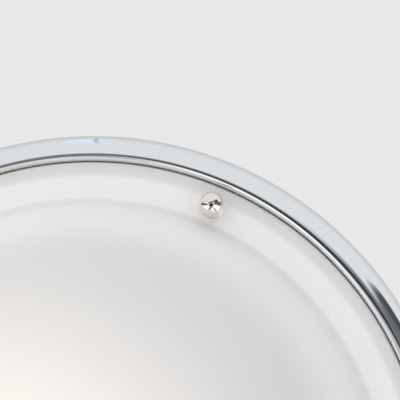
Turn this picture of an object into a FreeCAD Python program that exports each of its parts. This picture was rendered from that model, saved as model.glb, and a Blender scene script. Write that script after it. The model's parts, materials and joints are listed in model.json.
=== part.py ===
import FreeCAD, Part
import math
import os
import Sketcher

# Flush mount ceiling light: a spun steel pan with a bullnose rim, an opal glass shade held by three ball
# finials, and two screw-base lamps inside. Millimetres. The ceiling is the plane z = 0, the fixture's axis is
# the Z axis, and everything hangs towards -Z. The lamp gear has its own frame, turned about Z by lamp_turn,
# with a lamp axis along its X.

SIZES = [
    # The pan: one sheet of steel, from its raised back to the ledge that the glass lies on.
    ("pan_radius", 181.0),
    ("sheet", 1.0),
    ("back_recess", 3.0),
    ("contact_width", 10.0),
    ("back_corner", 3.0),
    ("wall_height", 16.3),
    ("rim_round", 11.7),
    ("curl_round", 1.5),
    ("ledge_gap", 0.95),
    ("fixing_circle", 120.0),
    ("fixing_hole", 2.75),
    # The glass shade and its gasket.
    ("glass_gap", 0.8),
    ("glass_thickness", 3.0),
    ("glass_edge", 1.2),
    ("flange_recess", 6.0),
    ("flange_width", 18.8),
    ("root_round", 4.0),
    ("wall_slope", 65.0),
    ("wall_drop", 10.0),
    ("shoulder_round", 52.0),
    ("cap_slope", 33.0),
    ("lamp_clearance", 5.0),
    ("gasket_margin", 1.25),
    ("gasket_thickness", 1.2),
    ("gasket_gap", 0.3),
    # The three studs, what carries them and what they hold.
    ("stud_turn", -66.0),
    ("root_gap", 0.5),
    ("stud_radius", 2.0),
    ("stud_head_radius", 3.2),
    ("stud_head_height", 1.2),
    ("pass_gap", 0.3),
    ("bracket_sheet", 1.5),
    ("bracket_width", 16.0),
    ("bracket_reach", 8.0),
    ("bracket_flange", 15.0),
    ("bend_round", 1.2),
    ("rivet_spacing", 8.0),
    ("rivet_radius", 1.5),
    ("rivet_head", 2.8),
    ("rivet_tail", 1.0),
    ("bushing_wall", 1.9),
    ("bushing_gap", 0.1),
    ("bushing_flange", 4.8),
    ("bushing_lip", 0.8),
    ("washer_radius", 5.6),
    ("washer_thickness", 1.0),
    ("seat_gap", 0.05),
    ("finial_radius", 6.35),
    ("finial_neck", 3.8),
    ("finial_foot", 1.5),
    ("finial_bore", 10.5),
    ("thread_gap", 0.05),
    ("stud_end_gap", 1.2),
    # The cable entry.
    ("cable_radius", 4.5),
    ("grommet_hole", 7.5),
    ("grommet_flange", 10.5),
    ("grommet_lip", 1.5),
    ("grommet_chamfer", 1.0),
    # The lamps.
    ("lamp_turn", -34.1),
    ("lamp_gap", 12.0),
    ("lamp_headroom", 6.0),
    ("bulb_radius", 30.0),
    ("bulb_neck", 12.4),
    ("bulb_slope", 50.0),
    ("bulb_wall", 1.0),
    ("cap_radius", 13.1),
    ("cap_wall", 0.4),
    ("cap_length", 22.0),
    ("cap_lap", 4.0),
    ("cap_cone", 3.5),
    ("contact_radius", 6.5),
    ("contact_length", 2.6),
    ("eyelet_radius", 4.2),
    # The lampholders.
    ("mouth_gap", 3.0),
    ("shell_gap", 0.25),
    ("shell_wall", 0.5),
    ("shell_inset", 2.0),
    ("holder_radius", 18.5),
    ("holder_back", 16.0),
    ("holder_taper", 11.0),
    ("holder_floor", 9.0),
    ("leaf_recess", 8.0),
    ("leaf_depth", 4.0),
    ("leaf_gap", 0.3),
    ("leaf_sheet", 0.6),
    ("leaf_tip", 1.6),
    ("leaf_root", 4.2),
    ("leaf_margin", 1.0),
    ("holder_round", 1.5),
    ("shell_lap", 1.0),
    ("holder_bracket_width", 24.0),
    ("holder_bracket_foot", 20.0),
    ("holder_screw_radius", 1.5),
    ("holder_screw_spread", 9.0),
    ("holder_screw_head", 2.6),
    ("foot_screw_spread", 7.0),
    # The wiring.
    ("lead_radius", 1.1),
    ("lead_gap", 0.3),
    ("lead_bend", 7.0),
    ("lead_entry", 1.5),
    ("lead_depth", 5.0),
    ("lead_spacing", 1.0),
    ("lead_inset", 1.0),
    ("lead_step", 6.0),
    ("lead_end", 2.0),
    ("lead_fan", 20.0),
    ("lead_half_fan", 10.0),
    ("lead_stagger", 2.0),
    ("lead_spread", 3.0),
    ("block_gap", 7.0),
    ("block_offset", 12.0),
    ("block_length", 17.0),
    ("block_height", 9.0),
    ("block_foot", 3.0),
    ("block_taper", 2.0),
    ("block_margin", 1.0),
    ("block_seat", 2.5),
    ("way_pitch", 10.0),
    ("way_radius", 1.7),
    ("way_drop", 4.0),
    ("insert_wall", 0.5),
    ("insert_gap", 0.1),
    ("insert_inset", 1.0),
    ("well_radius", 2.2),
    ("well_screw_radius", 1.9),
    ("well_screw_depth", 1.4),
    ("screw_radius", 1.5),
    ("screw_head", 2.8),
    ("screw_height", 2.0),
    ("screw_tail", 1.6),
    ("earth_reach", 31.0),
    ("earth_step", 6.0),
    ("earth_washer_sheet", 0.8),
    ("tag_sheet", 0.8),
    ("tag_margin", 1.2),
    ("tag_wall", 0.7),
    ("tag_barrel_start", 3.2),
    ("tag_barrel_length", 7.0),
    ("tag_socket_depth", 4.2),
    ("clip_length", 6.0),
    ("clip_wall", 2.8),
    ("clip_roof", 1.2),
    ("clip_foot", 1.0),
    ("clip_near", 12.0),
    ("clip_far", -38.0),
]
STUDS = 3
LAMPS = 2
WAYS = 3
LEFT = 1
RIGHT = -1

doc = FreeCAD.newDocument("CeilingLight")
sheet = doc.addObject("Spreadsheet::Sheet", "Sizes")
for row, (alias, size) in enumerate(SIZES, 1):
    sheet.set(f"A{row}", str(size))
    sheet.setAlias(f"A{row}", alias)
doc.recompute()

# Heights below the ceiling and radii that several pieces share, as expressions on the sheet.
PLATE = "(Sizes.back_recess + Sizes.sheet)"
CROWN = "(Sizes.wall_height + Sizes.rim_round)"
GLASS_FRONT = f"({CROWN} - Sizes.flange_recess)"
GLASS_BACK = f"({GLASS_FRONT} - Sizes.glass_thickness)"
LEDGE_FRONT = f"({GLASS_BACK} - Sizes.gasket_gap - Sizes.gasket_thickness)"
LEDGE_BACK = f"({LEDGE_FRONT} - Sizes.sheet)"
LIP = "(Sizes.pan_radius - Sizes.rim_round - Sizes.curl_round)"
GLASS_EDGE = f"({LIP} - Sizes.glass_gap)"
DOME = f"({GLASS_EDGE} - Sizes.flange_width)"
FLAT_START = f"({DOME} + Sizes.root_round * tan(Sizes.wall_slope / 2))"
STUD_CIRCLE = f"({FLAT_START} + Sizes.root_gap + Sizes.bushing_flange)"
LEDGE_EDGE = f"({STUD_CIRCLE} + Sizes.stud_radius + Sizes.ledge_gap)"
STUD_PASS = "(Sizes.stud_radius + Sizes.pass_gap)"
SLEEVE = f"({STUD_PASS} + Sizes.bushing_wall)"
WASHER_BACK = f"({GLASS_FRONT} + Sizes.bushing_lip)"
WASHER_FRONT = f"({WASHER_BACK} + Sizes.washer_thickness)"
FINIAL_BACK = f"({WASHER_FRONT} + Sizes.seat_gap)"
STUD_END = f"({FINIAL_BACK} + Sizes.finial_bore - Sizes.stud_end_gap)"
FOOT_BACK = f"({LEDGE_BACK} - Sizes.bracket_sheet)"
BRACKET_WEB = f"({STUD_CIRCLE} - Sizes.bracket_reach)"

# Along a lamp's axis, from the middle of its globe.
BULB_BEND = "((Sizes.bulb_radius * sin(Sizes.bulb_slope) - Sizes.bulb_neck) / (1 - sin(Sizes.bulb_slope)))"
NECK_END = f"(Sizes.bulb_radius * cos(Sizes.bulb_slope) + {BULB_BEND} * cos(Sizes.bulb_slope))"
CAP_END = f"({NECK_END} + Sizes.cap_length)"
CONE_END = f"({CAP_END} + Sizes.cap_cone)"
TIP = f"({CONE_END} + Sizes.contact_length)"
MOUTH = f"({NECK_END} + Sizes.mouth_gap)"
SHELL_BORE = "(Sizes.cap_radius + Sizes.shell_gap)"
HOLDER_BORE = f"({SHELL_BORE} + Sizes.shell_wall + Sizes.shell_gap)"
HOLDER_FLOOR = TIP
HOLDER_BACK = f"({HOLDER_FLOOR} + Sizes.leaf_depth + Sizes.holder_floor)"
LAMP_OFFSET = "(Sizes.bulb_radius + Sizes.lamp_gap / 2)"
LAMP_DEPTH = f"({PLATE} + Sizes.lamp_headroom + Sizes.bulb_radius)"
LEAD_A = f"({HOLDER_BACK} - Sizes.holder_taper + Sizes.lead_inset)"
LEAD_B = f"({LEAD_A} + Sizes.lead_step)"
BLOCK_PLACE = f"({LEAD_A} - Sizes.block_gap - Sizes.block_length / 2)"
BLOCK_TOP = f"({PLATE} + Sizes.block_height)"
WELL_ALONG = "(Sizes.block_length / 4)"
WELL_SEAT = f"({BLOCK_TOP} - Sizes.well_screw_depth - Sizes.screw_height / 2)"
WAY_DEPTH = f"({PLATE} + Sizes.way_drop)"
LEAD_RUN = f"({PLATE} + Sizes.lead_gap + Sizes.lead_radius)"


def value(expression):
    """The number that an expression on the sheet comes to."""
    return float(sheet.evalExpression(expression))


def turned(along, across, turn):
    """The x and y expressions of a point after a turn about Z."""
    x = f"(({along}) * cos({turn}) - ({across}) * sin({turn}))"
    y = f"(({along}) * sin({turn}) + ({across}) * cos({turn}))"
    return x, y


def place(piece, x="0", y="0", z="0", turn="0", tilt=None):
    """Put a piece at x, y, z. It turns about Z by an expression, after an optional tilt."""
    rotation = FreeCAD.Rotation(FreeCAD.Vector(0, 0, 1), value(turn))
    if tilt is not None:
        rotation = rotation.multiply(tilt)
    piece.Placement = FreeCAD.Placement(FreeCAD.Vector(value(x), value(y), value(z)), rotation)
    for axis, expression in zip("xyz", (x, y, z)):
        piece.setExpression(f"Placement.Base.{axis}", expression)


def new_body(label):
    """An empty body with its label."""
    body = doc.addObject("PartDesign::Body", label)
    body.Label = label
    return body


def new_sketch(body, name, role, offset=None):
    """A sketch on one of the body's own origin planes, moved along its normal by an offset."""
    sketch = body.newObject("Sketcher::SketchObject", name)
    plane = [feature for feature in body.Origin.OriginFeatures if feature.Role == role][0]
    sketch.AttachmentSupport = (plane, [""])
    sketch.MapMode = "FlatFace"
    if offset is not None:
        sketch.setExpression("AttachmentOffset.Base.z", offset)
    return sketch


def bind(sketch, kind, geometry, end, name, expression):
    """Add a dimension to a sketch and tie it to an expression."""
    if kind == "Radius":
        constraint = Sketcher.Constraint(kind, geometry, value(expression))
    else:
        constraint = Sketcher.Constraint(kind, geometry, end, value(expression))
    sketch.renameConstraint(sketch.addConstraint(constraint), name)
    if expression != "0":
        sketch.setExpression(f"Constraints.{name}", expression)


def draw_outline(sketch, corners):
    """Draw a closed outline through corners, each (x, y) or (x, y, bend, radius), all as expressions.

    A corner with a bend starts an arc that bends LEFT or RIGHT to the next corner. The others start lines.
    """
    places = [FreeCAD.Vector(value(corner[0]), value(corner[1]), 0) for corner in corners]
    ends = []
    for index, corner in enumerate(corners):
        here = places[index]
        there = places[(index + 1) % len(places)]
        if len(corner) == 2:
            sketch.addGeometry(Part.LineSegment(here, there), False)
            ends.append((1, 2))
            continue
        bend = corner[2]
        radius = value(corner[3])
        half = (there - here) * 0.5
        side = FreeCAD.Vector(-half.y, half.x, 0).normalize() * bend
        centre = here + half + side * math.sqrt(max(radius ** 2 - half.Length ** 2, 0))
        first, last = (here, there) if bend == LEFT else (there, here)
        start = math.atan2(first.y - centre.y, first.x - centre.x)
        stop = math.atan2(last.y - centre.y, last.x - centre.x)
        circle = Part.Circle(centre, FreeCAD.Vector(0, 0, 1), radius)
        sketch.addGeometry(Part.ArcOfCircle(circle, start, stop), False)
        ends.append((1, 2) if bend == LEFT else (2, 1))
    for index, corner in enumerate(corners):
        after = (index + 1) % len(corners)
        sketch.addConstraint(Sketcher.Constraint("Coincident", index, ends[index][1], after, ends[after][0]))
        bind(sketch, "DistanceX", index, ends[index][0], f"x{index}", corner[0])
        bind(sketch, "DistanceY", index, ends[index][0], f"y{index}", corner[1])
        if len(corner) == 4:
            bind(sketch, "Radius", index, 0, f"r{index}", corner[3])


def draw_circles(sketch, circles):
    """Draw circles, each (x, y, radius) as expressions."""
    for index, (x, y, radius) in enumerate(circles):
        centre = FreeCAD.Vector(value(x), value(y), 0)
        sketch.addGeometry(Part.Circle(centre, FreeCAD.Vector(0, 0, 1), value(radius)), False)
        bind(sketch, "DistanceX", index, 3, f"x{index}", x)
        bind(sketch, "DistanceY", index, 3, f"y{index}", y)
        bind(sketch, "Radius", index, 0, f"r{index}", radius)


def revolve(body, name, corners, axis="V_Axis"):
    """Turn an outline in the XZ plane round the body's Z axis, or round its X axis with H_Axis."""
    sketch = new_sketch(body, f"{name}_outline", "XZ_Plane")
    draw_outline(sketch, corners)
    feature = body.newObject("PartDesign::Revolution", name)
    feature.Profile = sketch
    feature.ReferenceAxis = (sketch, [axis])
    feature.Angle = 360
    return feature


def extrude(body, name, corners, width):
    """Pad an outline in the XZ plane to both sides of it."""
    sketch = new_sketch(body, f"{name}_outline", "XZ_Plane")
    draw_outline(sketch, corners)
    feature = body.newObject("PartDesign::Pad", name)
    feature.Profile = sketch
    feature.SideType = "Symmetric"
    feature.setExpression("Length", width)
    return feature


def pocket(body, name, sketch, length, reverse=False):
    """Cut a sketch's outlines out of the body, and check that the cut took something away."""
    doc.recompute()
    before = body.Shape.Volume
    feature = body.newObject("PartDesign::Pocket", name)
    feature.Profile = sketch
    feature.setExpression("Length", length)
    feature.Reversed = reverse
    doc.recompute()
    if body.Shape.Volume >= before - 0.01:
        raise RuntimeError(f"{body.Label}: {name} cuts nothing")
    return feature


def around(body, name, feature, count):
    """Repeat a feature round the Z axis."""
    pattern = body.newObject("PartDesign::PolarPattern", name)
    pattern.Originals = [feature]
    pattern.Axis = (feature.Profile[0], ["N_Axis"])
    pattern.Angle = 360
    pattern.Occurrences = count
    body.Tip = pattern
    return pattern


def turned_pieces(label, corners, places):
    """A group of equal turned pieces in one node. Each place is (x, y, z, turn, tilt)."""
    profile = doc.addObject("Sketcher::SketchObject", f"{label}_outline")
    draw_outline(profile, corners)
    pieces = []
    for index, (x, y, z, turn, tilt) in enumerate(places, 1):
        piece = doc.addObject("Part::Revolution", f"{label}_piece_{index}")
        piece.Source = profile
        piece.Axis = (0, 1, 0)
        piece.Angle = 360
        piece.Solid = True
        place(piece, x, y, z, turn, tilt)
        pieces.append(piece)
    group = doc.addObject("Part::Compound", label)
    group.Links = pieces
    group.Label = label
    return group


# A turned outline's own axis is Y, and these tilts stand it up: with its Y down to -Z or along X.
DOWN = FreeCAD.Rotation(FreeCAD.Vector(1, 0, 0), -90)
ALONG = FreeCAD.Rotation(FreeCAD.Vector(0, 0, 1), -90)


def screw_outline(shank, tail, head, height):
    """A domed screw's outline, with the underside of its head at 0, its tail behind and its head ahead."""
    return [
        ("0", f"-({tail})"),
        (shank, f"-({tail})"),
        (shank, "0"),
        (head, "0"),
        (head, f"({height}) * 0.45", LEFT, f"({height}) * 0.75"),
        (f"({head}) * 0.6", height),
        ("0", height),
    ]


def stud_angle(index):
    """The angle of a stud round the fixture, as an expression."""
    return f"(Sizes.stud_turn + {index * 360 / STUDS})"


def lamp_angle(index):
    """The angle of a lamp's frame, as an expression."""
    return f"(Sizes.lamp_turn + {index * 360 / LAMPS})"


def in_lamp_frame(piece, index=0, along="0", across="0", depth="0", tilt=None):
    """Put a piece at a place in one lamp's frame."""
    x, y = turned(along, across, lamp_angle(index))
    place(piece, x, y, f"-({depth})", lamp_angle(index), tilt)


# Where the gear is screwed to the plate, in the lamp's frame: (along, across).
FOOT_SCREW = f"({HOLDER_BACK} + Sizes.bracket_sheet + Sizes.holder_bracket_foot * 0.6)"
FOOT_SCREWS = [
    (FOOT_SCREW, f"(-{LAMP_OFFSET} + Sizes.foot_screw_spread)"),
    (FOOT_SCREW, f"(-{LAMP_OFFSET} - Sizes.foot_screw_spread)"),
]
BLOCK_SCREW = (BLOCK_PLACE, "(Sizes.block_offset + Sizes.way_pitch / 2)")
EARTH_ALONG = f"({BLOCK_PLACE} + Sizes.block_length / 2 + Sizes.earth_reach)"
EARTH_ACROSS = "(Sizes.block_offset + Sizes.way_pitch + Sizes.earth_step)"


def rivet_places():
    """Two rivets through each stud bracket's flange: (radius, across, turn)."""
    middle = f"({BRACKET_WEB} - Sizes.bracket_flange / 2)"
    places = []
    for index in range(STUDS):
        for side in (-1, 1):
            places.append((middle, f"({side} * Sizes.rivet_spacing / 2)", stud_angle(index)))
    return places


def make_pan():
    """The spun pan: raised back, wall, bullnose rim, curl and ledge in one sheet, with its holes."""
    body = new_body("pan")
    skew = "Sizes.sheet * tan(22.5)"
    flat_end = "(Sizes.pan_radius - Sizes.back_corner)"
    step_out = f"({flat_end} - Sizes.contact_width)"
    step_in = f"({step_out} - Sizes.back_recess)"
    rim_middle = "(Sizes.pan_radius - Sizes.rim_round)"
    curl_middle = f"({CROWN} - Sizes.curl_round)"
    inner_lip = f"({LIP} + Sizes.sheet)"
    revolve(body, "spinning", [
        ("Sizes.grommet_hole", "-Sizes.back_recess"),
        (step_in, "-Sizes.back_recess"),
        (step_out, "0"),
        (flat_end, "0", RIGHT, "Sizes.back_corner"),
        ("Sizes.pan_radius", "-Sizes.back_corner"),
        ("Sizes.pan_radius", "-Sizes.wall_height", RIGHT, "Sizes.rim_round"),
        (rim_middle, f"-{CROWN}", RIGHT, "Sizes.curl_round"),
        (LIP, f"-{curl_middle}"),
        (LIP, f"-{LEDGE_FRONT}"),
        (LEDGE_EDGE, f"-{LEDGE_FRONT}"),
        (LEDGE_EDGE, f"-{LEDGE_BACK}"),
        (inner_lip, f"-{LEDGE_BACK}"),
        (inner_lip, f"-{curl_middle}", LEFT, "Sizes.curl_round - Sizes.sheet"),
        (rim_middle, f"-({CROWN} - Sizes.sheet)", LEFT, "Sizes.rim_round - Sizes.sheet"),
        ("Sizes.pan_radius - Sizes.sheet", "-Sizes.wall_height"),
        ("Sizes.pan_radius - Sizes.sheet", "-Sizes.back_corner", LEFT, "Sizes.back_corner - Sizes.sheet"),
        (flat_end, "-Sizes.sheet"),
        (f"{step_out} + {skew}", "-Sizes.sheet"),
        (f"{step_in} + {skew}", f"-{PLATE}"),
        ("Sizes.grommet_hole", f"-{PLATE}"),
    ])
    fixings = new_sketch(body, "fixings", "XY_Plane")
    fixing_turn = f"(Sizes.stud_turn + {180 / STUDS})"
    x, y = turned("Sizes.fixing_circle", "0", fixing_turn)
    draw_circles(fixings, [(x, y, "Sizes.fixing_hole")])
    around(body, "fixing_pattern", pocket(body, "fixing_cut", fixings, f"{PLATE} + 1"), STUDS)
    gear = new_sketch(body, "gear_holes", "XY_Plane")
    holes = []
    for radius, across, turn in rivet_places():
        holes.append((*turned(radius, across, turn), "Sizes.rivet_radius + Sizes.thread_gap"))
    for index in range(LAMPS):
        for along, across in FOOT_SCREWS:
            holes.append((*turned(along, across, lamp_angle(index)), "Sizes.screw_radius + Sizes.thread_gap"))
    for along, across in (BLOCK_SCREW, (EARTH_ALONG, EARTH_ACROSS)):
        holes.append((*turned(along, across, lamp_angle(0)), "Sizes.screw_radius + Sizes.thread_gap"))
    draw_circles(gear, holes)
    pocket(body, "gear_cut", gear, f"{PLATE} + 1")
    return body


def make_shade():
    """The glass shade: flange, fillet, steep wall, shoulder and shallow cap, of one thickness."""
    body = new_body("shade_glass")
    slope = "Sizes.wall_slope"
    end_slope = "Sizes.cap_slope"
    wall_run = f"(Sizes.wall_drop / tan({slope}))"
    shoulder_in = f"(Sizes.shoulder_round * (sin({slope}) - sin({end_slope})))"
    shoulder_down = f"(Sizes.shoulder_round * (cos({end_slope}) - cos({slope})))"
    cap_edge = f"({DOME} - {wall_run} - {shoulder_in})"
    cap_round = f"({cap_edge} / sin({end_slope}))"
    cap_down = f"({cap_round} * (1 - cos({end_slope})))"
    # The wall drops as far as it is asked to, or as far as the back corner of a lampholder needs.
    corner = f"sqrt({HOLDER_BACK} ^ 2 + {LAMP_OFFSET} ^ 2)"
    reach = f"({cap_round} - Sizes.glass_thickness - Sizes.lamp_clearance)"
    corner_depth = f"({LAMP_DEPTH} + Sizes.holder_radius)"
    needed = f"({cap_round} - sqrt({reach} ^ 2 - ({corner}) ^ 2) + {corner_depth})"
    drop = f"max(Sizes.wall_drop; {needed} - {cap_down} - {shoulder_down} - {GLASS_FRONT})"
    wall_end = f"({GLASS_FRONT} + {drop})"
    cap_start = f"({wall_end} + {shoulder_down})"
    bottom = f"({cap_start} + {cap_down})"
    root = f"(Sizes.root_round * tan({slope} / 2))"
    back_round = "(Sizes.root_round + Sizes.glass_thickness)"
    back_root = f"({back_round} * tan({slope} / 2))"
    back_dome = f"({DOME} - Sizes.glass_thickness * tan({slope} / 2))"
    wall_radius = f"({DOME} - {wall_run})"
    revolve(body, "blowing", [
        (f"{GLASS_EDGE} - Sizes.glass_edge", f"-{GLASS_FRONT}"),
        (FLAT_START, f"-{GLASS_FRONT}", LEFT, "Sizes.root_round"),
        (f"{DOME} - {root} * cos({slope})", f"-({GLASS_FRONT} + {root} * sin({slope}))"),
        (wall_radius, f"-{wall_end}", RIGHT, "Sizes.shoulder_round"),
        (cap_edge, f"-{cap_start}", RIGHT, cap_round),
        ("0", f"-{bottom}"),
        ("0", f"-({bottom} - Sizes.glass_thickness)", LEFT, f"{cap_round} - Sizes.glass_thickness"),
        (f"{cap_edge} - Sizes.glass_thickness * sin({end_slope})",
         f"-({cap_start} - Sizes.glass_thickness * cos({end_slope}))",
         LEFT, "Sizes.shoulder_round - Sizes.glass_thickness"),
        (f"{wall_radius} - Sizes.glass_thickness * sin({slope})",
         f"-({wall_end} - Sizes.glass_thickness * cos({slope}))"),
        (f"{back_dome} - {back_root} * cos({slope})", f"-({GLASS_BACK} + {back_root} * sin({slope}))",
         RIGHT, back_round),
        (f"{back_dome} + {back_root}", f"-{GLASS_BACK}"),
        (GLASS_EDGE, f"-{GLASS_BACK}"),
        (GLASS_EDGE, f"-({GLASS_FRONT} - Sizes.glass_edge)", RIGHT, "Sizes.glass_edge"),
    ])
    hole = new_sketch(body, "stud_hole", "XY_Plane")
    x, y = turned(STUD_CIRCLE, "0", stud_angle(0))
    draw_circles(hole, [(x, y, f"{SLEEVE} + Sizes.bushing_gap")])
    around(body, "stud_holes", pocket(body, "drilling", hole, f"{GLASS_FRONT} + 1"), STUDS)
    return body


def make_gasket():
    """The foam ring between the ledge and the glass."""
    body = new_body("seat_gasket")
    inner = f"({LEDGE_EDGE} + Sizes.gasket_margin)"
    outer = f"({LIP} - Sizes.gasket_margin)"
    revolve(body, "ring", [
        (inner, f"-{LEDGE_FRONT}"),
        (outer, f"-{LEDGE_FRONT}"),
        (outer, f"-({LEDGE_FRONT} + Sizes.gasket_thickness)"),
        (inner, f"-({LEDGE_FRONT} + Sizes.gasket_thickness)"),
    ])
    return body


def make_grommet():
    """The rubber grommet in the cable entry: its collar meets the ceiling and its lip holds it."""
    body = new_body("cable_grommet")
    lip = f"({PLATE} + Sizes.grommet_lip)"
    revolve(body, "moulding", [
        ("Sizes.cable_radius", "0"),
        ("Sizes.grommet_flange - Sizes.grommet_chamfer", "0"),
        ("Sizes.grommet_flange", "-Sizes.grommet_chamfer"),
        ("Sizes.grommet_flange", "-Sizes.back_recess"),
        ("Sizes.grommet_hole", "-Sizes.back_recess"),
        ("Sizes.grommet_hole", f"-{PLATE}"),
        ("Sizes.grommet_flange", f"-{PLATE}"),
        ("Sizes.grommet_flange - Sizes.grommet_chamfer", f"-{lip}"),
        ("Sizes.cable_radius", f"-{lip}"),
    ])
    return body


def make_stud_bracket(index):
    """A folded steel strap from the plate to the ledge, whose foot carries a stud."""
    body = new_body(f"stud_bracket_{index + 1}")
    inner = "Sizes.bend_round"
    outer = "(Sizes.bend_round + Sizes.bracket_sheet)"
    web = BRACKET_WEB
    far = f"({BRACKET_WEB} - Sizes.bracket_sheet)"
    flange = f"({PLATE} + Sizes.bracket_sheet)"
    tip = f"({LIP} - 1)"
    start = f"({BRACKET_WEB} - Sizes.bracket_flange)"
    extrude(body, "strap", [
        (start, f"-{flange}"),
        (f"{far} - {inner}", f"-{flange}", RIGHT, inner),
        (far, f"-({flange} + {inner})"),
        (far, f"-({LEDGE_BACK} - {outer})", LEFT, outer),
        (f"{far} + {outer}", f"-{LEDGE_BACK}"),
        (tip, f"-{LEDGE_BACK}"),
        (tip, f"-{FOOT_BACK}"),
        (f"{web} + {inner}", f"-{FOOT_BACK}", RIGHT, inner),
        (web, f"-({FOOT_BACK} - {inner})"),
        (web, f"-({PLATE} + {outer})", LEFT, outer),
        (f"{web} - {outer}", f"-{PLATE}"),
        (start, f"-{PLATE}"),
    ], "Sizes.bracket_width")
    rivets = new_sketch(body, "rivet_holes", "XY_Plane")
    draw_circles(rivets, [
        (radius, across, "Sizes.rivet_radius + Sizes.thread_gap") for radius, across, _ in rivet_places()[:2]
    ])
    pocket(body, "rivet_cut", rivets, f"{flange} + 1")
    seat = new_sketch(body, "stud_hole", "XY_Plane")
    draw_circles(seat, [(STUD_CIRCLE, "0", "Sizes.stud_radius + Sizes.thread_gap")])
    pocket(body, "stud_cut", seat, f"{LEDGE_BACK} + 1")
    place(body, turn=stud_angle(index))
    return body


def make_bracket_rivets():
    """The six rivets of the stud brackets, closed in the recess behind the plate."""
    tail = "(Sizes.bracket_sheet + Sizes.sheet)"
    places = []
    for radius, across, turn in rivet_places():
        x, y = turned(radius, across, turn)
        places.append((x, y, f"-({PLATE} + Sizes.bracket_sheet)", "0", DOWN))
    corners = [
        ("0", f"-({tail} + Sizes.rivet_tail)"),
        ("Sizes.rivet_head * 0.8", f"-({tail} + Sizes.rivet_tail)"),
        ("Sizes.rivet_head * 0.9", f"-{tail}"),
        ("Sizes.rivet_radius", f"-{tail}"),
        ("Sizes.rivet_radius", "0"),
        ("Sizes.rivet_head", "0", LEFT, "Sizes.rivet_head * 1.25"),
        ("0", "Sizes.rivet_head * 0.5"),
    ]
    return turned_pieces("bracket_rivets", corners, places)


def make_stud(index):
    """A clinch stud: its flat head on the bracket's foot, its shank down through the glass."""
    body = new_body(f"mounting_stud_{index + 1}")
    head = f"({FOOT_BACK} - Sizes.stud_head_height)"
    revolve(body, "turning", [
        ("0", f"-{head}"),
        ("Sizes.stud_head_radius", f"-{head}"),
        ("Sizes.stud_head_radius", f"-{FOOT_BACK}"),
        ("Sizes.stud_radius", f"-{FOOT_BACK}"),
        ("Sizes.stud_radius", f"-({STUD_END} - 0.6)"),
        ("Sizes.stud_radius - 0.6", f"-{STUD_END}"),
        ("0", f"-{STUD_END}"),
    ])
    place(body, *turned(STUD_CIRCLE, "0", stud_angle(index)))
    return body


def make_bushing(index):
    """The plastic sleeve that keeps the stud off the glass, with its lip on the front."""
    body = new_body(f"stud_bushing_{index + 1}")
    top = f"({GLASS_BACK} + 0.2)"
    revolve(body, "moulding", [
        (STUD_PASS, f"-{top}"),
        (SLEEVE, f"-{top}"),
        (SLEEVE, f"-{GLASS_FRONT}"),
        ("Sizes.bushing_flange", f"-{GLASS_FRONT}"),
        ("Sizes.bushing_flange", f"-{WASHER_BACK}"),
        (STUD_PASS, f"-{WASHER_BACK}"),
    ])
    place(body, *turned(STUD_CIRCLE, "0", stud_angle(index)))
    return body


def make_washer(index):
    """The washer between the sleeve's lip and the finial."""
    body = new_body(f"washer_{index + 1}")
    revolve(body, "pressing", [
        (STUD_PASS, f"-{WASHER_BACK}"),
        ("Sizes.washer_radius", f"-{WASHER_BACK}"),
        ("Sizes.washer_radius", f"-({WASHER_FRONT} - 0.3)"),
        ("Sizes.washer_radius - 0.3", f"-{WASHER_FRONT}"),
        (STUD_PASS, f"-{WASHER_FRONT}"),
    ])
    place(body, *turned(STUD_CIRCLE, "0", stud_angle(index)))
    return body


def make_finial(index):
    """The turned ball knob: a short foot, the ball and a blind threaded bore."""
    body = new_body(f"finial_{index + 1}")
    foot_end = f"({FINIAL_BACK} + Sizes.finial_foot)"
    middle = f"({foot_end} + sqrt(Sizes.finial_radius ^ 2 - Sizes.finial_neck ^ 2))"
    bore = "(Sizes.stud_radius + Sizes.thread_gap)"
    bore_end = f"({FINIAL_BACK} + Sizes.finial_bore)"
    revolve(body, "turning", [
        (bore, f"-{FINIAL_BACK}"),
        ("Sizes.finial_neck", f"-{FINIAL_BACK}"),
        ("Sizes.finial_neck", f"-{foot_end}", RIGHT, "Sizes.finial_radius"),
        ("Sizes.finial_radius", f"-{middle}", RIGHT, "Sizes.finial_radius"),
        ("0", f"-({middle} + Sizes.finial_radius)"),
        ("0", f"-({bore_end} + {bore} / 2)"),
        (bore, f"-{bore_end}"),
    ])
    place(body, *turned(STUD_CIRCLE, "0", stud_angle(index)))
    return body


def make_bulb_glass(index):
    """The pear-shaped bulb, a thin shell that runs into its cap."""
    body = new_body(f"bulb_glass_{index + 1}")
    slope = "Sizes.bulb_slope"
    wall = "Sizes.bulb_wall"
    end = f"({NECK_END} + Sizes.cap_lap)"
    revolve(body, "blowing", [
        ("-Sizes.bulb_radius", "0", RIGHT, "Sizes.bulb_radius"),
        (f"Sizes.bulb_radius * cos({slope})", f"Sizes.bulb_radius * sin({slope})", LEFT, BULB_BEND),
        (NECK_END, "Sizes.bulb_neck"),
        (end, "Sizes.bulb_neck"),
        (end, f"Sizes.bulb_neck - {wall}"),
        (NECK_END, f"Sizes.bulb_neck - {wall}", RIGHT, f"{BULB_BEND} + {wall}"),
        (f"(Sizes.bulb_radius - {wall}) * cos({slope})", f"(Sizes.bulb_radius - {wall}) * sin({slope})",
         LEFT, f"Sizes.bulb_radius - {wall}"),
        (f"-(Sizes.bulb_radius - {wall})", "0"),
    ], axis="H_Axis")
    in_lamp_frame(body, index, across=f"-{LAMP_OFFSET}", depth=LAMP_DEPTH)
    return body


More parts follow.
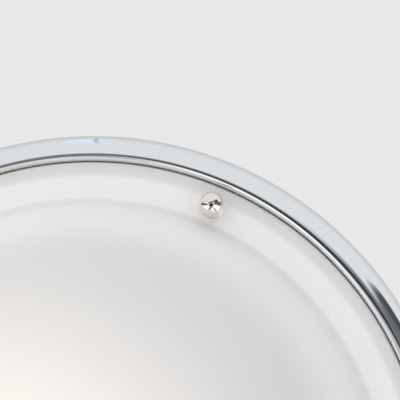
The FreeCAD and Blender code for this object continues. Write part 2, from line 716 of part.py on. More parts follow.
def make_bulb_cap(index):
    """The bulb's brass cap: a rolled rim, the screw shell and its cone."""
    body = new_body(f"bulb_cap_{index + 1}")
    bore = "(Sizes.cap_radius - Sizes.cap_wall)"
    revolve(body, "pressing", [
        (NECK_END, bore),
        (NECK_END, "Sizes.cap_radius - 0.1"),
        (CAP_END, "Sizes.cap_radius - 0.1"),
        (CONE_END, "Sizes.contact_radius"),
        (CONE_END, "Sizes.contact_radius - Sizes.cap_wall"),
        (CAP_END, bore),
    ], axis="H_Axis")
    in_lamp_frame(body, index, across=f"-{LAMP_OFFSET}", depth=LAMP_DEPTH)
    return body


def make_bulb_contact(index):
    """The end of the bulb's cap: its insulator and the eyelet that meets the centre contact."""
    body = new_body(f"bulb_contact_{index + 1}")
    back = f"({CONE_END} + Sizes.seat_gap)"
    collar = f"({CONE_END} + Sizes.contact_length * 0.55)"
    revolve(body, "moulding", [
        (back, "0"),
        (back, "Sizes.contact_radius"),
        (collar, "Sizes.eyelet_radius"),
        (f"{TIP} - 0.5", "Sizes.eyelet_radius"),
        (TIP, "Sizes.eyelet_radius - 0.8"),
        (TIP, "0"),
    ], axis="H_Axis")
    in_lamp_frame(body, index, across=f"-{LAMP_OFFSET}", depth=LAMP_DEPTH)
    return body


def make_lampholder(index):
    """The porcelain lampholder: a round cup with a tapered back, a leaf recess, screw and lead holes."""
    body = new_body(f"lampholder_{index + 1}")
    recess = f"({HOLDER_FLOOR} + Sizes.leaf_depth)"
    revolve(body, "casting", [
        (MOUTH, HOLDER_BORE),
        (MOUTH, "Sizes.holder_radius - Sizes.holder_round", RIGHT, "Sizes.holder_round"),
        (f"{MOUTH} + Sizes.holder_round", "Sizes.holder_radius"),
        (f"{HOLDER_BACK} - Sizes.holder_taper", "Sizes.holder_radius"),
        (HOLDER_BACK, "Sizes.holder_back"),
        (HOLDER_BACK, "0"),
        (recess, "0"),
        (recess, "Sizes.leaf_recess"),
        (HOLDER_FLOOR, "Sizes.leaf_recess"),
        (HOLDER_FLOOR, HOLDER_BORE),
    ], axis="H_Axis")
    screws = new_sketch(body, "screw_holes", "YZ_Plane", HOLDER_BACK)
    hole = "Sizes.holder_screw_radius + Sizes.thread_gap"
    spread = "Sizes.holder_screw_spread"
    draw_circles(screws, [(spread, "0", hole), (f"-{spread}", "0", hole)])
    pocket(body, "screw_cut", screws, "Sizes.holder_floor * 0.7")
    entries = new_sketch(body, "lead_entries", "XY_Plane", "Sizes.holder_radius + 1")
    draw_circles(entries, [(LEAD_A, "0", "Sizes.lead_entry"), (LEAD_B, "0", "Sizes.lead_entry")])
    pocket(body, "entry_cut", entries, "Sizes.lead_depth + 3.5")
    in_lamp_frame(body, index, across=f"-{LAMP_OFFSET}", depth=LAMP_DEPTH)
    return body


def make_screw_shell(index):
    """The brass screw shell that lines the lampholder and rests on its floor."""
    body = new_body(f"screw_shell_{index + 1}")
    outer = f"({SHELL_BORE} + Sizes.shell_wall)"
    start = f"({MOUTH} + Sizes.shell_inset)"
    revolve(body, "pressing", [
        (start, SHELL_BORE),
        (start, outer),
        (HOLDER_FLOOR, outer),
        (HOLDER_FLOOR, "Sizes.leaf_recess + Sizes.shell_lap"),
        (f"{HOLDER_FLOOR} - Sizes.shell_wall", "Sizes.leaf_recess + Sizes.shell_lap"),
        (f"{HOLDER_FLOOR} - Sizes.shell_wall", SHELL_BORE),
    ], axis="H_Axis")
    in_lamp_frame(body, index, across=f"-{LAMP_OFFSET}", depth=LAMP_DEPTH)
    return body


def make_centre_contact(index):
    """The sprung contact in the lampholder's floor, domed towards the bulb's eyelet."""
    body = new_body(f"centre_contact_{index + 1}")
    floor = f"({HOLDER_FLOOR} + Sizes.leaf_depth)"
    front = f"({TIP} + Sizes.leaf_gap)"
    revolve(body, "pressing", [
        (floor, "0"),
        (front, "0"),
        (front, "Sizes.leaf_tip"),
        (f"{floor} - Sizes.leaf_sheet", "Sizes.leaf_root"),
        (f"{floor} - Sizes.leaf_sheet", "Sizes.leaf_recess - Sizes.leaf_margin"),
        (floor, "Sizes.leaf_recess - Sizes.leaf_margin"),
    ], axis="H_Axis")
    in_lamp_frame(body, index, across=f"-{LAMP_OFFSET}", depth=LAMP_DEPTH)
    return body


def make_holder_bracket(index):
    """The folded bracket that carries a lampholder: a foot on the plate and a leg behind the holder."""
    body = new_body(f"holder_bracket_{index + 1}")
    near = HOLDER_BACK
    far = f"({HOLDER_BACK} + Sizes.bracket_sheet)"
    toe = f"({far} + Sizes.holder_bracket_foot)"
    top = f"({LAMP_DEPTH} - {PLATE})"
    inner = "Sizes.bend_round"
    outer = "(Sizes.bend_round + Sizes.bracket_sheet)"
    low = "-(Sizes.holder_radius * 0.55)"
    extrude(body, "strap", [
        (near, low),
        (far, low),
        (far, f"{top} - {outer}", RIGHT, inner),
        (f"{far} + {inner}", f"{top} - Sizes.bracket_sheet"),
        (toe, f"{top} - Sizes.bracket_sheet"),
        (toe, top),
        (f"{near} + {outer}", top, LEFT, outer),
        (near, f"{top} - {outer}"),
    ], "Sizes.holder_bracket_width")
    leg = new_sketch(body, "leg_holes", "YZ_Plane", far)
    hole = "Sizes.holder_screw_radius + Sizes.thread_gap"
    spread = "Sizes.holder_screw_spread"
    draw_circles(leg, [(spread, "0", hole), (f"-{spread}", "0", hole)])
    pocket(body, "leg_cut", leg, "Sizes.bracket_sheet + 0.5")
    foot = new_sketch(body, "foot_holes", "XY_Plane", f"{top} + 1")
    hole = "Sizes.screw_radius + Sizes.thread_gap"
    spread = "Sizes.foot_screw_spread"
    draw_circles(foot, [(FOOT_SCREW, spread, hole), (FOOT_SCREW, f"-{spread}", hole)])
    pocket(body, "foot_cut", foot, "Sizes.bracket_sheet + 1.5")
    in_lamp_frame(body, index, across=f"-{LAMP_OFFSET}", depth=LAMP_DEPTH)
    return body


def make_holder_screws():
    """The four screws that hold the lampholders to their brackets."""
    places = []
    for index in range(LAMPS):
        for side in (-1, 1):
            across = f"(-{LAMP_OFFSET} + {side} * Sizes.holder_screw_spread)"
            x, y = turned(f"{HOLDER_BACK} + Sizes.bracket_sheet", across, lamp_angle(index))
            places.append((x, y, f"-{LAMP_DEPTH}", lamp_angle(index), ALONG))
    tail = "Sizes.bracket_sheet + Sizes.holder_floor * 0.6"
    corners = screw_outline("Sizes.holder_screw_radius", tail, "Sizes.holder_screw_head", "Sizes.screw_height")
    return turned_pieces("holder_screws", corners, places)


def make_foot_screws():
    """The four screws that hold the lampholder brackets to the plate."""
    places = []
    for index in range(LAMPS):
        for along, across in FOOT_SCREWS:
            x, y = turned(along, across, lamp_angle(index))
            places.append((x, y, f"-({PLATE} + Sizes.bracket_sheet)", "0", DOWN))
    tail = "Sizes.bracket_sheet + Sizes.sheet + Sizes.screw_tail"
    corners = screw_outline("Sizes.screw_radius", tail, "Sizes.screw_head", "Sizes.screw_height")
    return turned_pieces("foot_screws", corners, places)


def way_offset(way):
    """How far across the terminal block a way lies, as an expression."""
    return f"(Sizes.block_offset + {way - (WAYS - 1) / 2} * Sizes.way_pitch)"


def make_terminal_block():
    """The nylon terminal block: three ways with wells for their screws, and a hole to fix it."""
    body = new_body("terminal_block")
    half = "(Sizes.block_length / 2)"
    top = BLOCK_TOP
    width = f"({WAYS} * Sizes.way_pitch - Sizes.block_margin)"
    extrude(body, "moulding", [
        (f"-{half}", f"-({PLATE} + Sizes.block_foot)"),
        (f"-({half} - Sizes.block_taper)", f"-{top}"),
        (f"({half} - Sizes.block_taper)", f"-{top}"),
        (half, f"-({PLATE} + Sizes.block_foot)"),
        (half, f"-{PLATE}"),
        (f"-{half}", f"-{PLATE}"),
    ], width)
    ways = new_sketch(body, "ways", "YZ_Plane", f"-({half} + 1)")
    rows = [f"({way - (WAYS - 1) / 2} * Sizes.way_pitch)" for way in range(WAYS)]
    tube = "Sizes.way_radius + Sizes.insert_wall + Sizes.insert_gap"
    draw_circles(ways, [(row, f"-{WAY_DEPTH}", tube) for row in rows])
    pocket(body, "way_cut", ways, "Sizes.block_length + 2", reverse=True)
    wells = new_sketch(body, "wells", "XY_Plane", f"-({top} + 1)")
    spots = [(f"{side} * {WELL_ALONG}", row) for side in (-1, 1) for row in rows]
    draw_circles(wells, [(along, row, "Sizes.well_radius") for along, row in spots])
    pocket(body, "well_cut", wells, f"{top} + 1 - {WAY_DEPTH}", reverse=True)
    fixing = new_sketch(body, "fixing", "XY_Plane")
    draw_circles(fixing, [("0", "Sizes.way_pitch / 2", "Sizes.screw_radius + Sizes.insert_gap")])
    pocket(body, "fixing_cut", fixing, f"{top} + 1")
    slots = new_sketch(body, "slots", "XY_Plane", f"-({top} + 1)")
    draw_circles(slots, [("0", "Sizes.way_pitch / 2", "Sizes.screw_head + Sizes.pass_gap")])
    pocket(body, "slot_cut", slots, "Sizes.block_seat + 1", reverse=True)
    in_lamp_frame(body, along=BLOCK_PLACE, across="Sizes.block_offset")
    return body


def make_terminal_inserts():
    """The three brass tubes in the block's ways."""
    half = "(Sizes.block_length / 2 - Sizes.insert_inset)"
    outer = "Sizes.way_radius + Sizes.insert_wall"
    corners = [
        ("Sizes.way_radius", f"-{half}"),
        (outer, f"-{half}"),
        (outer, half),
        ("Sizes.way_radius", half),
    ]
    places = []
    for way in range(WAYS):
        x, y = turned(BLOCK_PLACE, way_offset(way), lamp_angle(0))
        places.append((x, y, f"-{WAY_DEPTH}", lamp_angle(0), ALONG))
    return turned_pieces("terminal_inserts", corners, places)


def make_terminal_screws():
    """The six screws that clamp the leads, in the block's wells."""
    places = []
    for way in range(WAYS):
        for side in (-1, 1):
            x, y = turned(f"{BLOCK_PLACE} + {side} * {WELL_ALONG}", way_offset(way), lamp_angle(0))
            places.append((x, y, f"-{WELL_SEAT}", "0", DOWN))
    tip = f"({WELL_SEAT} - {WAY_DEPTH} - Sizes.way_radius - Sizes.insert_wall - Sizes.insert_gap)"
    corners = [
        ("0", f"-{tip}"),
        ("Sizes.well_screw_radius", f"-{tip}"),
        ("Sizes.well_screw_radius", "Sizes.screw_height / 2"),
        ("0", "Sizes.screw_height / 2"),
    ]
    return turned_pieces("terminal_screws", corners, places)


def make_block_screw():
    """The screw that holds the terminal block."""
    x, y = turned(*BLOCK_SCREW, lamp_angle(0))
    seat = f"({BLOCK_TOP} - Sizes.block_seat)"
    tail = "Sizes.block_height - Sizes.block_seat + Sizes.sheet + Sizes.screw_tail"
    corners = screw_outline("Sizes.screw_radius", tail, "Sizes.screw_head", "Sizes.screw_height")
    return turned_pieces("terminal_block_screw", corners, [(x, y, f"-{seat}", "0", DOWN)])


TAG_TOP = f"({PLATE} + Sizes.earth_washer_sheet)"
TAG_SHEET = "Sizes.tag_sheet"
TAG_BARREL = "(Sizes.lead_radius + Sizes.tag_wall)"
TAG_END = "(Sizes.tag_barrel_start + Sizes.tag_barrel_length)"
TAG_FLOOR = f"({TAG_END} - Sizes.tag_socket_depth)"


def make_earth_tag():
    """The ring tag under the earth screw, with the barrel that is crimped on the earth lead."""
    ring = doc.addObject("Part::Cylinder", "tag_ring")
    ring.setExpression("Radius", "Sizes.screw_head + Sizes.tag_margin")
    ring.setExpression("Height", TAG_SHEET)
    barrel = doc.addObject("Part::Cylinder", "tag_barrel")
    barrel.setExpression("Radius", TAG_BARREL)
    barrel.setExpression("Height", "Sizes.tag_barrel_length")
    barrel.Placement.Rotation = FreeCAD.Rotation(FreeCAD.Vector(0, 1, 0), -90)
    barrel.setExpression("Placement.Base.x", "-Sizes.tag_barrel_start")
    barrel.setExpression("Placement.Base.z", f"{TAG_SHEET} - {TAG_BARREL}")
    whole = doc.addObject("Part::Fuse", "tag_whole")
    whole.Base = ring
    whole.Tool = barrel
    bore = doc.addObject("Part::Cylinder", "tag_bore")
    bore.setExpression("Radius", "Sizes.screw_radius + Sizes.thread_gap")
    bore.setExpression("Height", f"4 * {TAG_BARREL}")
    bore.setExpression("Placement.Base.z", f"-2 * {TAG_BARREL}")
    drilled = doc.addObject("Part::Cut", "tag_drilled")
    drilled.Base = whole
    drilled.Tool = bore
    socket = doc.addObject("Part::Cylinder", "tag_socket")
    socket.setExpression("Radius", "Sizes.lead_radius + Sizes.thread_gap")
    socket.setExpression("Height", "Sizes.tag_socket_depth + 1")
    socket.Placement.Rotation = FreeCAD.Rotation(FreeCAD.Vector(0, 1, 0), -90)
    socket.setExpression("Placement.Base.x", f"-{TAG_FLOOR}")
    socket.setExpression("Placement.Base.z", f"{TAG_SHEET} - {TAG_BARREL}")
    tag = doc.addObject("Part::Cut", "earth_tag")
    tag.Base = drilled
    tag.Tool = socket
    tag.Label = "earth_tag"
    in_lamp_frame(tag, along=EARTH_ALONG, across=EARTH_ACROSS, depth=f"({TAG_TOP} + {TAG_SHEET})")
    return tag


def make_earth_washer():
    """The toothed washer under the earth tag."""
    corners = [
        ("Sizes.screw_radius + Sizes.thread_gap", "0"),
        ("Sizes.screw_head + Sizes.tag_margin", "0"),
        ("Sizes.screw_head + Sizes.tag_margin", "Sizes.earth_washer_sheet"),
        ("Sizes.screw_radius + Sizes.thread_gap", "Sizes.earth_washer_sheet"),
    ]
    x, y = turned(EARTH_ALONG, EARTH_ACROSS, lamp_angle(0))
    return turned_pieces("earth_washer", corners, [(x, y, f"-{PLATE}", "0", DOWN)])


def make_earth_screw():
    """The earth screw, through its tag and washer into the plate."""
    x, y = turned(EARTH_ALONG, EARTH_ACROSS, lamp_angle(0))
    tail = f"Sizes.earth_washer_sheet + {TAG_SHEET} + Sizes.sheet + Sizes.screw_tail"
    corners = screw_outline("Sizes.screw_radius", tail, "Sizes.screw_head", "Sizes.screw_height")
    return turned_pieces("earth_screw", corners, [(x, y, f"-({TAG_TOP} + {TAG_SHEET})", "0", DOWN)])


def make_lead(label, route):
    """A round lead: straight runs joined by tangent arcs, through (along, across, depth) in the lamp frame."""
    points = [FreeCAD.Vector(value(along), value(across), -value(depth)) for along, across, depth in route]
    edges = []
    start = points[0]
    for before, corner, after in zip(points, points[1:], points[2:]):
        back = (before - corner).normalize()
        ahead = (after - corner).normalize()
        turn = math.pi - back.getAngle(ahead)
        room = 0.45 * min((before - corner).Length, (after - corner).Length)
        bend = min(value("Sizes.lead_bend"), room / math.tan(turn / 2))
        trim = bend * math.tan(turn / 2)
        middle = corner + (back + ahead).normalize() * (bend / math.cos(turn / 2) - bend)
        edges.append(Part.LineSegment(start, corner + back * trim).toShape())
        edges.append(Part.Arc(corner + back * trim, middle, corner + ahead * trim).toShape())
        start = corner + ahead * trim
    edges.append(Part.LineSegment(start, points[-1]).toShape())
    path = Part.Wire(edges)
    radius = value("Sizes.lead_radius")
    circle = Part.Circle(points[0], points[1] - points[0], radius)
    shape = path.makePipeShell([Part.Wire([circle.toShape()])], True, False)
    expected = math.pi * radius ** 2 * path.Length
    print(f"{label}: {path.Length:.1f} mm long, volume {shape.Volume / expected:.4f} of section times length")
    lead = doc.addObject("Part::Feature", label)
    lead.Shape = shape
    lead.Label = label
    in_lamp_frame(lead)
    return lead


def make_leads():
    """The five leads: live and neutral to each lampholder, and the earth lead."""
    live, neutral, earth = (way_offset(way) for way in range(WAYS))
    inside = f"({BLOCK_PLACE} + Sizes.block_length / 2 - Sizes.lead_end)"
    outside = f"({BLOCK_PLACE} - Sizes.block_length / 2 + Sizes.lead_end)"
    entry = f"({LAMP_DEPTH} - Sizes.holder_radius + Sizes.lead_depth)"
    near = f"(-{LAMP_OFFSET})"
    pitch = "(Sizes.lead_radius * 2 + Sizes.lead_spacing)"
    make_lead("lead_live_1", [
        (inside, live, WAY_DEPTH), (LEAD_A, live, WAY_DEPTH), (LEAD_A, near, WAY_DEPTH), (LEAD_A, near, entry)])
    make_lead("lead_neutral_1", [
        (inside, neutral, WAY_DEPTH), (LEAD_B, neutral, WAY_DEPTH), (LEAD_B, near, WAY_DEPTH),
        (LEAD_B, near, entry)])
    run_start = f"({BLOCK_PLACE} - Sizes.block_length / 2 - Sizes.lead_fan)"
    run_end = f"(-{BLOCK_PLACE})"
    rise = "(Sizes.block_offset + Sizes.way_pitch * 0.45)"
    far = LAMP_OFFSET
    make_lead("lead_live_2", [
        (outside, live, WAY_DEPTH), (f"{run_start} + Sizes.lead_half_fan", live, WAY_DEPTH),
        (run_start, rise, LEAD_RUN), (run_end, rise, LEAD_RUN),
        (f"-{LEAD_B}", f"{rise} + Sizes.lead_spread", LEAD_RUN), (f"-{LEAD_B}", far, LEAD_RUN),
        (f"-{LEAD_B}", far, entry)])
    make_lead("lead_neutral_2", [
        (outside, neutral, WAY_DEPTH),
        (f"{run_start} + Sizes.lead_half_fan - Sizes.lead_stagger", neutral, WAY_DEPTH),
        (f"{run_start} - Sizes.lead_stagger", f"{rise} + {pitch}", LEAD_RUN),
        (run_end, f"{rise} + {pitch}", LEAD_RUN),
        (f"-{LEAD_A}", f"{rise} + {pitch} + Sizes.lead_spread", LEAD_RUN), (f"-{LEAD_A}", far, LEAD_RUN),
        (f"-{LEAD_A}", far, entry)])
    tag_depth = f"({TAG_TOP} + {TAG_BARREL})"
    tag_end = f"({EARTH_ALONG} - {TAG_FLOOR} - Sizes.thread_gap)"
    make_lead("earth_lead", [
        (inside, earth, WAY_DEPTH), (f"{inside} + Sizes.lead_half_fan", earth, WAY_DEPTH),
        (f"{tag_end} - Sizes.lead_half_fan", EARTH_ACROSS, tag_depth), (tag_end, EARTH_ACROSS, tag_depth)])
    return rise, pitch


def make_lead_clips(rise, pitch):
    """The two saddles that hold the pair of leads to the plate."""
    clips = []
    width = f"({pitch} + Sizes.lead_radius * 2 + 2 * Sizes.lead_gap + 2 * Sizes.clip_wall)"
    height = f"({LEAD_RUN} + Sizes.lead_radius + Sizes.clip_roof - {PLATE})"
    for index, along in enumerate(("Sizes.clip_near", "Sizes.clip_far"), 1):
        block = doc.addObject("Part::Box", f"clip_block_{index}")
        block.setExpression("Length", "Sizes.clip_length")
        block.setExpression("Width", width)
        block.setExpression("Height", height)
        tunnel = doc.addObject("Part::Box", f"clip_tunnel_{index}")
        tunnel.setExpression("Length", "Sizes.clip_length + 2")
        tunnel.Placement.Base = FreeCAD.Vector(-1, 0, 0)
        tunnel.setExpression("Placement.Base.y", "Sizes.clip_wall")
        tunnel.setExpression("Placement.Base.z", "Sizes.clip_foot")
        tunnel.setExpression("Width", f"{width} - 2 * Sizes.clip_wall")
        tunnel.setExpression("Height", height)
        saddle = doc.addObject("Part::Cut", f"clip_{index}")
        saddle.Base = block
        saddle.Tool = tunnel
        across = f"({rise} + {pitch} / 2 - {width} / 2)"
        x, y = turned(f"{along} - Sizes.clip_length / 2", across, lamp_angle(0))
        place(saddle, x, y, f"-({PLATE} + {height})", lamp_angle(0))
        clips.append(saddle)
    group = doc.addObject("Part::Compound", "lead_clips")
    group.Links = clips
    group.Label = "lead_clips"
    return group


def make_all():
    """Make every piece."""
    make_pan()
    make_shade()
    make_gasket()
    make_grommet()
    for index in range(STUDS):
        make_stud_bracket(index)
        make_stud(index)
        make_bushing(index)
        make_washer(index)
        make_finial(index)
    make_bracket_rivets()
    for index in range(LAMPS):
        make_bulb_glass(index)
        make_bulb_cap(index)
        make_bulb_contact(index)
        make_lampholder(index)
        make_screw_shell(index)
        make_centre_contact(index)
        make_holder_bracket(index)
    make_holder_screws()
    make_foot_screws()
    make_terminal_block()
    make_terminal_inserts()
    make_terminal_screws()
    make_block_screw()
    make_earth_tag()
    make_earth_washer()
    make_earth_screw()
    rise, pitch = make_leads()
    make_lead_clips(rise, pitch)


def nodes():
    """The finished pieces: bodies, and the other shapes that no further object uses."""
    kinds = ("PartDesign::Body", "Part::Compound", "Part::Feature", "Part::Cut")
    return [item for item in doc.Objects if item.TypeId in kinds and not item.InList]


def check_and_export():
    """Stop at the first object that failed, then write each piece's file."""
    for item in doc.Objects:
        if "Invalid" in item.State or "Error" in item.State:
            raise RuntimeError(f"{item.Label} failed: {item.State}")
    pieces = nodes()
    for piece in pieces:
        if piece.Shape.isNull() or not piece.Shape.isValid():
            raise RuntimeError(f"{piece.Label} has no valid shape")
    os.makedirs("parts", exist_ok=True)
    for piece in pieces:
        piece.Shape.exportStep(f"parts/{piece.Label}.step")
        print(f"{piece.Label}: {len(piece.Shape.Solids)} solid, {piece.Shape.Volume / 1000:.2f} cm3")
    print(f"{len(pieces)} nodes")


make_all()
doc.recompute()
check_and_export()
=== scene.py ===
"""Flush mount ceiling light: its spun and threaded pieces, the finish of every part, and a studio round it.

The ceiling is the plane z = 0 and the light hangs towards -Z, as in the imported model. Outlines and threads
are drawn in millimetres, and everything else is in metres.
"""

import json
import math

import bmesh
import bpy
from mathutils import Matrix, Vector


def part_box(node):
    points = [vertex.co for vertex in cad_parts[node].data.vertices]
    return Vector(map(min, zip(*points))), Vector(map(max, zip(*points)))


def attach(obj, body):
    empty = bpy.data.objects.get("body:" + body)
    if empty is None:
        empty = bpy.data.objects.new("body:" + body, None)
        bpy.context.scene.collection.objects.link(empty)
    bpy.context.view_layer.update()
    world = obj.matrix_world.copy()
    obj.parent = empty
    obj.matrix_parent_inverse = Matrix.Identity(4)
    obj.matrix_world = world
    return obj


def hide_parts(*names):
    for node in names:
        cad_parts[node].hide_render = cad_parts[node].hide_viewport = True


bl_info = {
    "name": "Ceiling Light",
    "version": (1, 0, 0),
    "blender": (4, 5, 0),
    "location": "View3D > Sidebar > Ceiling Light",
    "description": "Builds the fine pieces and finishes of a flush mount ceiling light",
    "category": "Object",
}

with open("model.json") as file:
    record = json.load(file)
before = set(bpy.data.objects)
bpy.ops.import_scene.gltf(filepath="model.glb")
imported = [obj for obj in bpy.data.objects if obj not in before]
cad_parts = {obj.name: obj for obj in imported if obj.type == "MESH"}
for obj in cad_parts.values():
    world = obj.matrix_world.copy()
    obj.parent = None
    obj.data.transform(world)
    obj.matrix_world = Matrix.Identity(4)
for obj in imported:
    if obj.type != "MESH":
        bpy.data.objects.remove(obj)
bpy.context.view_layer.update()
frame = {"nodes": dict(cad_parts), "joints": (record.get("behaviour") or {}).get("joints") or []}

MM = 0.001
LAMPS = (1, 2)
STUDS = (1, 2, 3)
DOWN = (0, 0, -1)


# What the frame says

def middle(name):
    """The middle of a CAD node's box."""
    low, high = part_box(name)
    return (low + high) / 2


def corners(name):
    """The points of a CAD node."""
    return [vert.co for vert in frame["nodes"][name].data.vertices]


def solids(name):
    """The points of each separate solid of a CAD node."""
    made = bmesh.new()
    made.from_mesh(frame["nodes"][name].data)
    bmesh.ops.remove_doubles(made, verts=made.verts, dist=0.001 * MM)
    found = []
    for first in made.verts:
        if first.tag:
            continue
        first.tag = True
        solid = [first]
        for vert in solid:
            for edge in vert.link_edges:
                other = edge.other_vert(vert)
                if not other.tag:
                    other.tag = True
                    solid.append(other)
        found.append([vert.co.copy() for vert in solid])
    made.free()
    return found


def stand(origin, axis):
    """A frame at an origin whose Z lies along an axis."""
    return Matrix.Translation(origin) @ Vector(axis).to_track_quat("Z", "Y").to_matrix().to_4x4()


def reach(points, place):
    """The lowest and highest corners of some points, in the frame of a place."""
    back = place.inverted()
    turned = [back @ point for point in points]
    return Vector(map(min, zip(*turned))), Vector(map(max, zip(*turned)))


def lamp_place(lamp):
    """The frame of a lamp: its origin in the middle of the globe, and Z towards the cap."""
    joint = next(joint for joint in frame["joints"] if joint["name"] == f"bulb_{lamp}_spin")
    return stand(joint["pos_m"], -Vector(joint["axis"]))


# Mesh helpers

# Points closer together than this are one.
WELD = 0.005 * MM
# An arc is drawn in steps of at most this many degrees and this length.
ARC_DEGREES = 6
ARC_LENGTH = 3 * MM
# How many sides the turned pieces, their threads and their holes have.
PAN_SIDES = 360
SHADE_SIDES = 288
KNOB_SIDES = 96
CAP_SIDES = 96
CAP_THREAD_SIDES = 48
STUD_SIDES = 32
STUD_THREAD_SIDES = 24
SCREW_SIDES = 48
SCREW_THREAD_SIDES = 20
GRUB_SIDES = 40
FIXING_HOLE_SIDES = 32
GLASS_HOLE_SIDES = 48


def run_to(made, last, x, z):
    """Carry an outline in the XZ plane on, with a straight run to x, z."""
    grown = bmesh.ops.extrude_vert_indiv(made, verts=[last])["verts"][0]
    grown.co = (x, 0.0, z)
    return grown


def bend_round(made, last, x, z, degrees):
    """Carry an outline in the XZ plane on, with an arc about x, z that turns from Z towards X."""
    radius = math.hypot(last.co.x - x, last.co.z - z)
    arc = radius * math.radians(abs(degrees))
    steps = max(math.ceil(abs(degrees) / ARC_DEGREES), math.ceil(arc / ARC_LENGTH))
    return bmesh.ops.spin(
        made, geom=[last], cent=(x, 0, z), axis=(0, 1, 0), dvec=(0, 0, 0), angle=math.radians(degrees),
        steps=steps, use_merge=False, use_normal_flip=False, use_duplicate=False)["geom_last"][0]


def draw(path):
    """A bmesh of one outline in the XZ plane, from (x, z) runs and (x, z, degrees) arcs in millimetres."""
    made = bmesh.new()
    last = bmesh.ops.create_vert(made, co=(path[0][0] * MM, 0, path[0][1] * MM))["vert"][0]
    for x, z, *degrees in path[1:]:
        if degrees:
            last = bend_round(made, last, x * MM, z * MM, degrees[0])
        else:
            last = run_to(made, last, x * MM, z * MM)
    bmesh.ops.remove_doubles(made, verts=made.verts, dist=WELD)
    return made


def turn_full(made, segments):
    """Turn an outline once round Z, weld it and face it outwards."""
    bmesh.ops.spin(
        made, geom=made.verts[:] + made.edges[:], cent=(0, 0, 0), axis=(0, 0, 1), dvec=(0, 0, 0),
        angle=math.tau, steps=segments, use_merge=True, use_normal_flip=False, use_duplicate=False)
    bmesh.ops.remove_doubles(made, verts=made.verts, dist=WELD)
    bmesh.ops.delete(made, geom=[edge for edge in made.edges if edge.is_wire], context="EDGES")
    bmesh.ops.recalc_face_normals(made, faces=made.faces)
    return made


def turn_thread(made, segments, pitch, turns):
    """Turn one pitch of an outline along a right-hand helix that climbs Z, and weld its turns."""
    bmesh.ops.spin(
        made, geom=made.verts[:] + made.edges[:], cent=(0, 0, 0), axis=(0, 0, 1),
        dvec=(0, 0, pitch * MM / segments), angle=math.tau * turns, steps=segments * turns, use_merge=False,
        use_normal_flip=False, use_duplicate=False)
    bmesh.ops.remove_doubles(made, verts=made.verts, dist=WELD)
    bmesh.ops.recalc_face_normals(made, faces=made.faces)


def trim(made, height, above):
    """Cut a bmesh off flat at a height in millimetres, above it or below it."""
    bmesh.ops.bisect_plane(
        made, geom=made.verts[:] + made.edges[:] + made.faces[:], dist=0.0001 * MM,
        plane_co=(0, 0, height * MM), plane_no=(0, 0, 1 if above else -1), clear_outer=True)


def take_in(made, other, place=None):
    """Add one bmesh to another, at a place."""
    if place is not None:
        other.transform(place)
    mesh = bpy.data.meshes.new("passing")
    other.to_mesh(mesh)
    other.free()
    made.from_mesh(mesh)
    bpy.data.meshes.remove(mesh)


def make_v_thread(crest, depth, pitch, low, high, segments):
    """A closed V thread between two heights, with narrow flats on its crest and in its root."""
    root = crest - depth
    start = low - pitch
    crest_end, root_start, root_end = 0.12, 0.5, 0.62
    made = draw([
        (crest, start), (crest, start + pitch * crest_end), (root, start + pitch * root_start),
        (root, start + pitch * root_end), (crest, start + pitch)])
    turn_thread(made, segments, pitch, math.ceil((high - low) / pitch) + 2)
    trim(made, low, above=False)
    trim(made, high, above=True)
    bmesh.ops.holes_fill(made, edges=[edge for edge in made.edges if edge.is_boundary], sides=0)
    bmesh.ops.recalc_face_normals(made, faces=made.faces)
    return made


def make_wave_thread(root, crest, pitch, low, high, wall):
    """A rounded screw shell between two heights, with a wall inside it."""
    steps = 10
    half = (crest - root) / 2
    start = (math.floor(low / pitch) - 1) * pitch
    made = draw([
        (root + half * (1 - math.cos(math.tau * step / steps)), start + pitch * step / steps)
        for step in range(steps + 1)])
    turn_thread(made, CAP_THREAD_SIDES, pitch, math.ceil((high - start) / pitch) + 1)
    trim(made, low, above=False)
    trim(made, high, above=True)
    bmesh.ops.solidify(made, geom=made.faces[:], thickness=wall * MM)
    bmesh.ops.recalc_face_normals(made, faces=made.faces)
    return made


def finish_piece(made, name, body, slot, *stands_for, sharp=32):
    """Make the object of a bmesh, smooth but for sharp angles. It stands for its CAD nodes on their body."""
    mesh = bpy.data.meshes.new(name)
    made.to_mesh(mesh)
    made.free()
    mesh.shade_smooth()
    mesh.set_sharp_from_angle(angle=math.radians(sharp))
    piece = bpy.data.objects.new(name, mesh)
    bpy.context.scene.collection.objects.link(piece)
    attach(piece, body)
    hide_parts(*stands_for)


def carve(made, cutter):
    """Cut closed shapes out of a bmesh, and give the new one."""
    bmesh.ops.recalc_face_normals(cutter, faces=cutter.faces)
    pieces = []
    for shape in (made, cutter):
        mesh = bpy.data.meshes.new("passing")
        shape.to_mesh(mesh)
        shape.free()
        pieces.append(bpy.data.objects.new("passing", mesh))
        bpy.context.scene.collection.objects.link(pieces[-1])
    modifier = pieces[0].modifiers.new("cut", "BOOLEAN")
    modifier.object = pieces[1]
    modifier.operation = "DIFFERENCE"
    modifier.solver = "EXACT"
    result = bpy.data.meshes.new_from_object(pieces[0].evaluated_get(bpy.context.evaluated_depsgraph_get()))
    carved = bmesh.new()
    carved.from_mesh(result)
    for mesh in [result, *[piece.data for piece in pieces]]:
        bpy.data.meshes.remove(mesh)
    return carved


def add_post(made, place, radius, low, high, segments):
    """Add an upright round post at a place, between two heights in metres."""
    post = bmesh.ops.create_cone(
        made, cap_ends=True, segments=segments, radius1=radius, radius2=radius, depth=high - low)["verts"]
    bmesh.ops.translate(made, verts=post, vec=(place[0], place[1], (low + high) / 2))


# Node helpers

def node(tree, kind, inputs=None, **settings):
    """Add a node, set its properties, and fill or link its inputs."""
    made = tree.nodes.new(kind)
    for name, setting in settings.items():
        setattr(made, name, setting)
    for key, value in (inputs or {}).items():
        if isinstance(value, bpy.types.NodeSocket):
            tree.links.new(value, made.inputs[key])
        else:
            made.inputs[key].default_value = value
    return made


